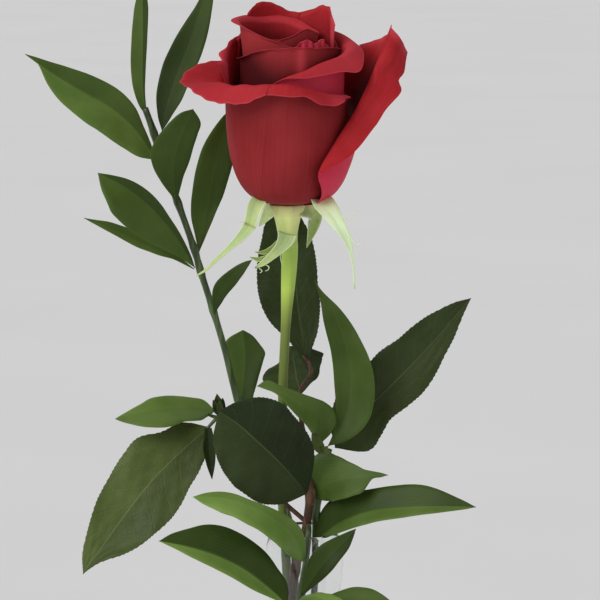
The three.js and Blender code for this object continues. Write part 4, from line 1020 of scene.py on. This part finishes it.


# Each petal: name, layer, azimuth and half sweep in degrees, then across it the fold's height and reach,
# the lip's length, turn and bend, what sets its shape apart, and its looks: its magenta, painted shade
# and painted light.
CUPPED_PETALS = (
    ("outer_left", 0, -155.5, 49.5, (43.1, 40.5, 37.5, 38.5, 38.9, 39.8, 41.2),
     (20.2, 20.6, 21, 20.9, 20.4, 19.9, 19.6), (6.5, 12, 17.6, 17.2, 14.8, 12.5, 8.5),
     (50, 65, 82, 100, 125, 145, 135), (5, 5, 4.6, 4, 3.2, 2.6, 1.8), {"slant": (0, -30), "dent": 0.02},
     {"glow": (0, 9, 0.12, 0.6, 0.8)}),
    ("outer_front", 0, -61, 61, (40.5, 40.9, 41.2, 40, 38.3, 37.1, 36.2, 35.1, 35),
     (19.4, 19.6, 19.8, 19.9, 20, 20, 19.9, 19.8, 19.6), (3, 8, 8.2, 8.4, 10, 7.5, 5, 3, 1.4),
     (100, 135, 140, 130, 140, 130, 120, 90, 60), (1.6, 1.8, 1.8, 1.8, 2, 2, 2, 2, 2), {"slant": (-28, 0),
     "dent": 0.02}, {"glow": (0.45, 0.4, 0.7, 0.58, 0.72)}),
    ("outer_right", 0, 36, 46, (30, 34, 37, 37, 32), (19.4, 19.6, 19.8, 20, 20), (0.6, 2.5, 3, 4, 1),
     (0, 60, 80, 100, 90), 2.4, {"lap": 0.3}, {}),
    ("outer_back", 0, 118, 50, (34, 36, 37, 36, 35), (19.6, 20.4, 21, 21, 20.6), (0.6, 11, 14, 12, 5),
     (0, 100, 120, 110, 80), (3, 3.5, 3.5, 3.5, 3), {"lap": 0.3}, {}),
    ("second_right", 1, -25, 80, (41.6, 44.1, 46.7, 48.2, 49.7, 50.9, 52.7, 54.7, 55.9),
     (17.8, 17.9, 18, 18.2, 18.4, 18.6, 18.6, 18.6, 18.4), (2, 4.5, 7.4, 9.4, 11.8, 8.6, 5.6, 4, 3.4),
     (100, 130, 135, 135, 135, 125, 105, 90, 80), (1.4, 1.6, 1.7, 2, 2.4, 2.8, 2.8, 2.6, 2.4), {"lap": 0.3},
     {"blush": 0.9, "glow": (0.1, 0.9, 0.35, 0.58, 0.75)}),
    ("second_back", 1, 94, 55, (53, 52, 52, 51, 50), (17.8, 18, 18.4, 18.4, 18.4), (0.6, 4, 8, 6, 3),
     (0, 100, 120, 110, 80), (2.2, 2.4, 2.4, 2.4, 2.2), {"lap": 0.3}, {"shade": (36, 52)}),
    ("second_left", 1, 165, 42, (56, 55.6, 55.3, 53.9, 51.4, 48.5, 47.4),
     (18, 18.4, 18.6, 19, 19.7, 20.6, 21.2), (0.8, 1.5, 1.5, 2, 2.5, 4, 2.5), (30, 40, 45, 60, 75, 80, 70),
     (2.5, 2.5, 2.8, 3, 3, 2.6, 2), {"lap": 0.3, "ruffle": 0.15, "curl": (0, 3.2), "dent": 0.06},
     {"shade": (16, 38), "glow": (0.5, 0.6, 0.8, 0.3, 0.5)}),
    ("third_front", 2, -92, 78, (49, 49.7, 51.3, 52.9, 53.5, 53.6, 53.2, 53, 52),
     (16.6, 16.5, 16.3, 16.2, 16.1, 16.1, 16.3, 16.8, 17.2), (1.8, 2.4, 2, 1.4, 1.2, 1.2, 1.4, 1.6, 2),
     (80, 85, 70, 50, 40, 40, 50, 60, 60), 1.2, {"lap": 0.3, "ridge": (0.24, 0.08, 0.5)}, {"shade": (40, 54),
     "dim": (12, 10, 6, 2, 0, 0, 2, 6, 8), "glow": (0.24, 0.08, 0.42, 0.36, 0.56)}),
    ("third_back", 2, 88, 84, (50, 55, 57, 57, 54), (16.6, 16.5, 16.6, 16.4, 16.2), (2, 4, 5, 4, 2),
     (60, 80, 90, 80, 60), 2, {"lap": 0.3}, {"shade": (42, 56)}),
    ("folded", 3, -50, 35, (53.5, 54.1, 55, 55.7, 55.7, 54.8, 54.6, 55.5, 55.7, 54.8, 53.6, 53, 52.6),
     (14.2, 14.2, 14.2, 14.3, 14.4), (1, 1.2, 1.2, 1.2, 1), (30, 40, 40, 40, 30), 1.4,
     {"pleats": (3.4, 0.45)}, {"blush": 0.8, "glow": (0.1, 0.5, 0.55, 0.5, 0.62)}),
    ("back_left", 3, 113, 37, (63, 62.8, 64.1, 65.5, 65.9, 65.3, 62.9),
     (15.2, 15.3, 15.4, 15.4, 15.4, 15.6, 15.9), (1.5, 2.2, 2.6, 2.4, 2, 1.4, 0.8),
     (30, 45, 50, 50, 40, 30, 20), 2, {}, {"shade": (46, 64)}),
    ("back_right", 3, 50, 44, (59.7, 63.1, 64.6, 65.1, 65.2, 65, 64.4, 63.6, 63, 62.6, 62.4, 62.6, 63.2),
     (14.8, 15, 15.2, 15.4, 15.4, 15.4, 15.2), (0.8, 1.2, 2, 2.4, 2.4, 2.2, 1.5),
     (10, 25, 40, 50, 50, 50, 40), 2, {"curl": (1, 0)}, {"shade": (46, 66),
     "glow": (-0.92, 0.12, 0.8, 0.2, 0.5)}),
    ("inner_left", 4, 155, 125, (55.4, 57.9, 59.9, 60.6, 61.3, 60.9, 57.8, 55.5, 53.2),
     (10.5, 11.3, 12.5, 13.7, 14.8, 16, 14.2, 12.4, 11), (3.2, 3.6, 4.2, 4.2, 3.4, 3.4, 2.2, 1.4, 0.8),
     (70, 72, 68, 64, 66, 80, 60, 40, 20), (1.4, 1.6, 1.8, 2, 2.2, 1.6, 1.6, 1.4, 1.2), {"swell": 1.18,
     "belly_height": 0.62}, {"shade": (53, 61.5, 0.1), "dim": (-4.5, -3, -1.2, -0.4, 0, 0, -3, -5, -8),
     "glow": (-0.1, 0.7, 0.4, 0.56, 0.66)}),
    ("inner_back", 5, 90, 62, (54.6, 53.8, 53.7, 53.8, 54.6), (10, 10.4, 10.8, 11, 11),
     (1, 1.5, 1.5, 1.5, 1), (20, 30, 30, 30, 20), 2, {}, {"shade": (46, 62)}),
    ("inner_right", 6, -28, 82, (55.4, 57.3, 59, 58.2, 56.9, 56.2, 55.8), (9.9, 10, 10.1, 10.1, 9.9, 9.5, 9),
     (1, 1, 1.2, 1.2, 1.2, 1.2, 1), (20, 25, 30, 30, 30, 25, 20), 1.4, {}, {"shade": (46, 60)}),
)
# start and sweep in degrees, inner radius and its growth, foot and rim heights
HEART_PETALS = (
    ("heart_outer", 150, 250, 5.6, 1, 15, 53),
    ("heart_middle", 20, 260, 3.7, 1, 16, 52.5),
    ("heart_core", -110, 280, 1.8, 0.9, 17, 52),
)
# Painted shade, dark low in the heart.
HEART_LOOKS = {"shade": (50, 62)}
PEELED = {
    "bearing": 4,
    "spine": ((5, 0.6), (22, 1.6), (18.6, 13), (33.9, 57.5)),
    "front_half": (4, 18.5, 23, 16.9, 10.1, 3.7),
    "back_half": (4, 8.6, 10, 17.1, 18.6, 16),
    "arch_radius": (60, 28, 25.1, 17.3, 16.7, 16.6),
    "flap": (0.6, 0.6, 0.6, 0.6, 0.9, 5.6, 10.4, 13, 13.6, 13, 13.8, 12.8, 12.2),
    "flap_turn": (0, 0, 60, 142, 102, 148),
    "droop": (0, 0, -0.22, -0.5, -0.28, 0.38),
    "flap_bend": 2.6,
    "flap_share": 0.42,
    "tip": (3.6, 0.8),
    "crease": (1.8, 0.9, 0.025),
}
# The peeled petal's magenta outer face, and painted shade kept to the back of its body, in the gap behind it.
PEELED_LOOKS = {"blush": 1.0, "shade": (36, 56, 0), "deep": (-0.05, 0.25)}


def petals(material):
    """Every petal of the bloom, from the outer ring to the rolled heart, and the peeled one."""
    u, v = grid(*PETAL_GRID)
    bloom = [(name, cupped_petal, shape, ways, looks) for name, *shape, ways, looks in CUPPED_PETALS]
    bloom += [(name, heart_petal, shape, {}, HEART_LOOKS) for name, *shape in HEART_PETALS]
    bloom.append(("peeled", peeled_petal, (), PEELED, PEELED_LOOKS))
    for i, (name, surface, shape, ways, looks) in enumerate(bloom):
        points = surface(u, v, PETAL_SEED + PETAL_SEED_STEP * i, *shape, **ways)
        paint = petal_looks(points, u, v, **looks)
        piece = shell_piece("petal_%s_skin" % name, points + BLOOM_PLACE, PETAL_THICKNESS, paint)
        finish_piece(piece, material, "petal_red", "petal_" + name)


# ---- Stage: camera, floor, light; in metres ----

VIEW_TARGET = Vector((-0.00136, 0.0, 0.281))
VIEW_DISTANCE = 0.9
VIEW_ELEVATION = math.radians(10)
VIEW_WIDTH = 0.204  # what the view takes in at its target
SENSOR_WIDTH = 36.0
LIGHT_TARGET = Vector((0, 0, 0.29))
FLOOR_HALF = 20.0
ROOM_LIGHT, ROOM_TINT = 0.42, (0.97, 0.97, 1.0, 1.0)


def camera():
    """Looks level-ish at the bloom and the upper greenery, the vase's body below the view."""
    back = Vector((0, -math.cos(VIEW_ELEVATION), math.sin(VIEW_ELEVATION)))
    data = bpy.data.cameras.new("camera")
    data.sensor_width = SENSOR_WIDTH
    data.lens = SENSOR_WIDTH * VIEW_DISTANCE / VIEW_WIDTH
    data.clip_start, data.clip_end = 0.05, 60.0
    view = add_object("camera", data)
    view.location = VIEW_TARGET + back * VIEW_DISTANCE
    view.rotation_euler = back.to_track_quat("Z", "Y").to_euler()
    bpy.context.scene.camera = view


def add_light(name, kind, energy, place):
    """A lamp at a place, turned towards the bouquet; gives its data."""
    data = bpy.data.lights.new(name, kind)
    data.energy = energy
    light = add_object(name, data)
    light.location = place
    light.rotation_euler = (LIGHT_TARGET - light.location).to_track_quat("-Z", "Y").to_euler()
    return data


def stage():
    """A pale floor and soft studio light, with the key from the upper left in front."""
    mesh = bpy.data.meshes.new("floor")
    corners = [(x * FLOOR_HALF, y * FLOOR_HALF, 0) for x, y in ((-1, -1), (1, -1), (1, 1), (-1, 1))]
    mesh.from_pydata(corners, [], [(0, 1, 2, 3)])
    n = Nodes("floor")
    cloud = n.level(n.noise(n.place(), 3.0, 4.0), 0.3, 0.7)
    pale = n.mix(cloud, (0.77, 0.765, 0.755), (0.79, 0.785, 0.775))
    mesh.materials.append(n.finish({"Base Color": pale, "Roughness": 0.9}))
    add_object("floor", mesh)
    sun = add_light("soft_sun", "SUN", energy=2.1, place=(-1.0, -0.8, 1.25))
    sun.angle = math.radians(50)
    fill = add_light("fill", "AREA", energy=1.6, place=(0.95, -1.1, 0.55))
    fill.shape = "DISK"
    fill.size = 0.9
    world = bpy.data.worlds.new("studio")
    world.use_nodes = True
    background = world.node_tree.nodes["Background"]
    background.inputs["Color"].default_value = ROOM_TINT
    background.inputs["Strength"].default_value = ROOM_LIGHT
    bpy.context.scene.world = world
    bpy.context.scene.view_settings.view_transform = "Standard"


camera()
stage()
vase(clear_glass())
green = rose_stem_skin()
stem_green = ruscus_stem_skin()
stems(green, stem_green, twig_skin())
petioles(stem_green)
salal_green = salal_leaf_skin()
greenery(ruscus_leaf_skin(), salal_green)
twig_scales(salal_green)
hip(green)
sepals(sepal_skin())
petals(petal_skin())
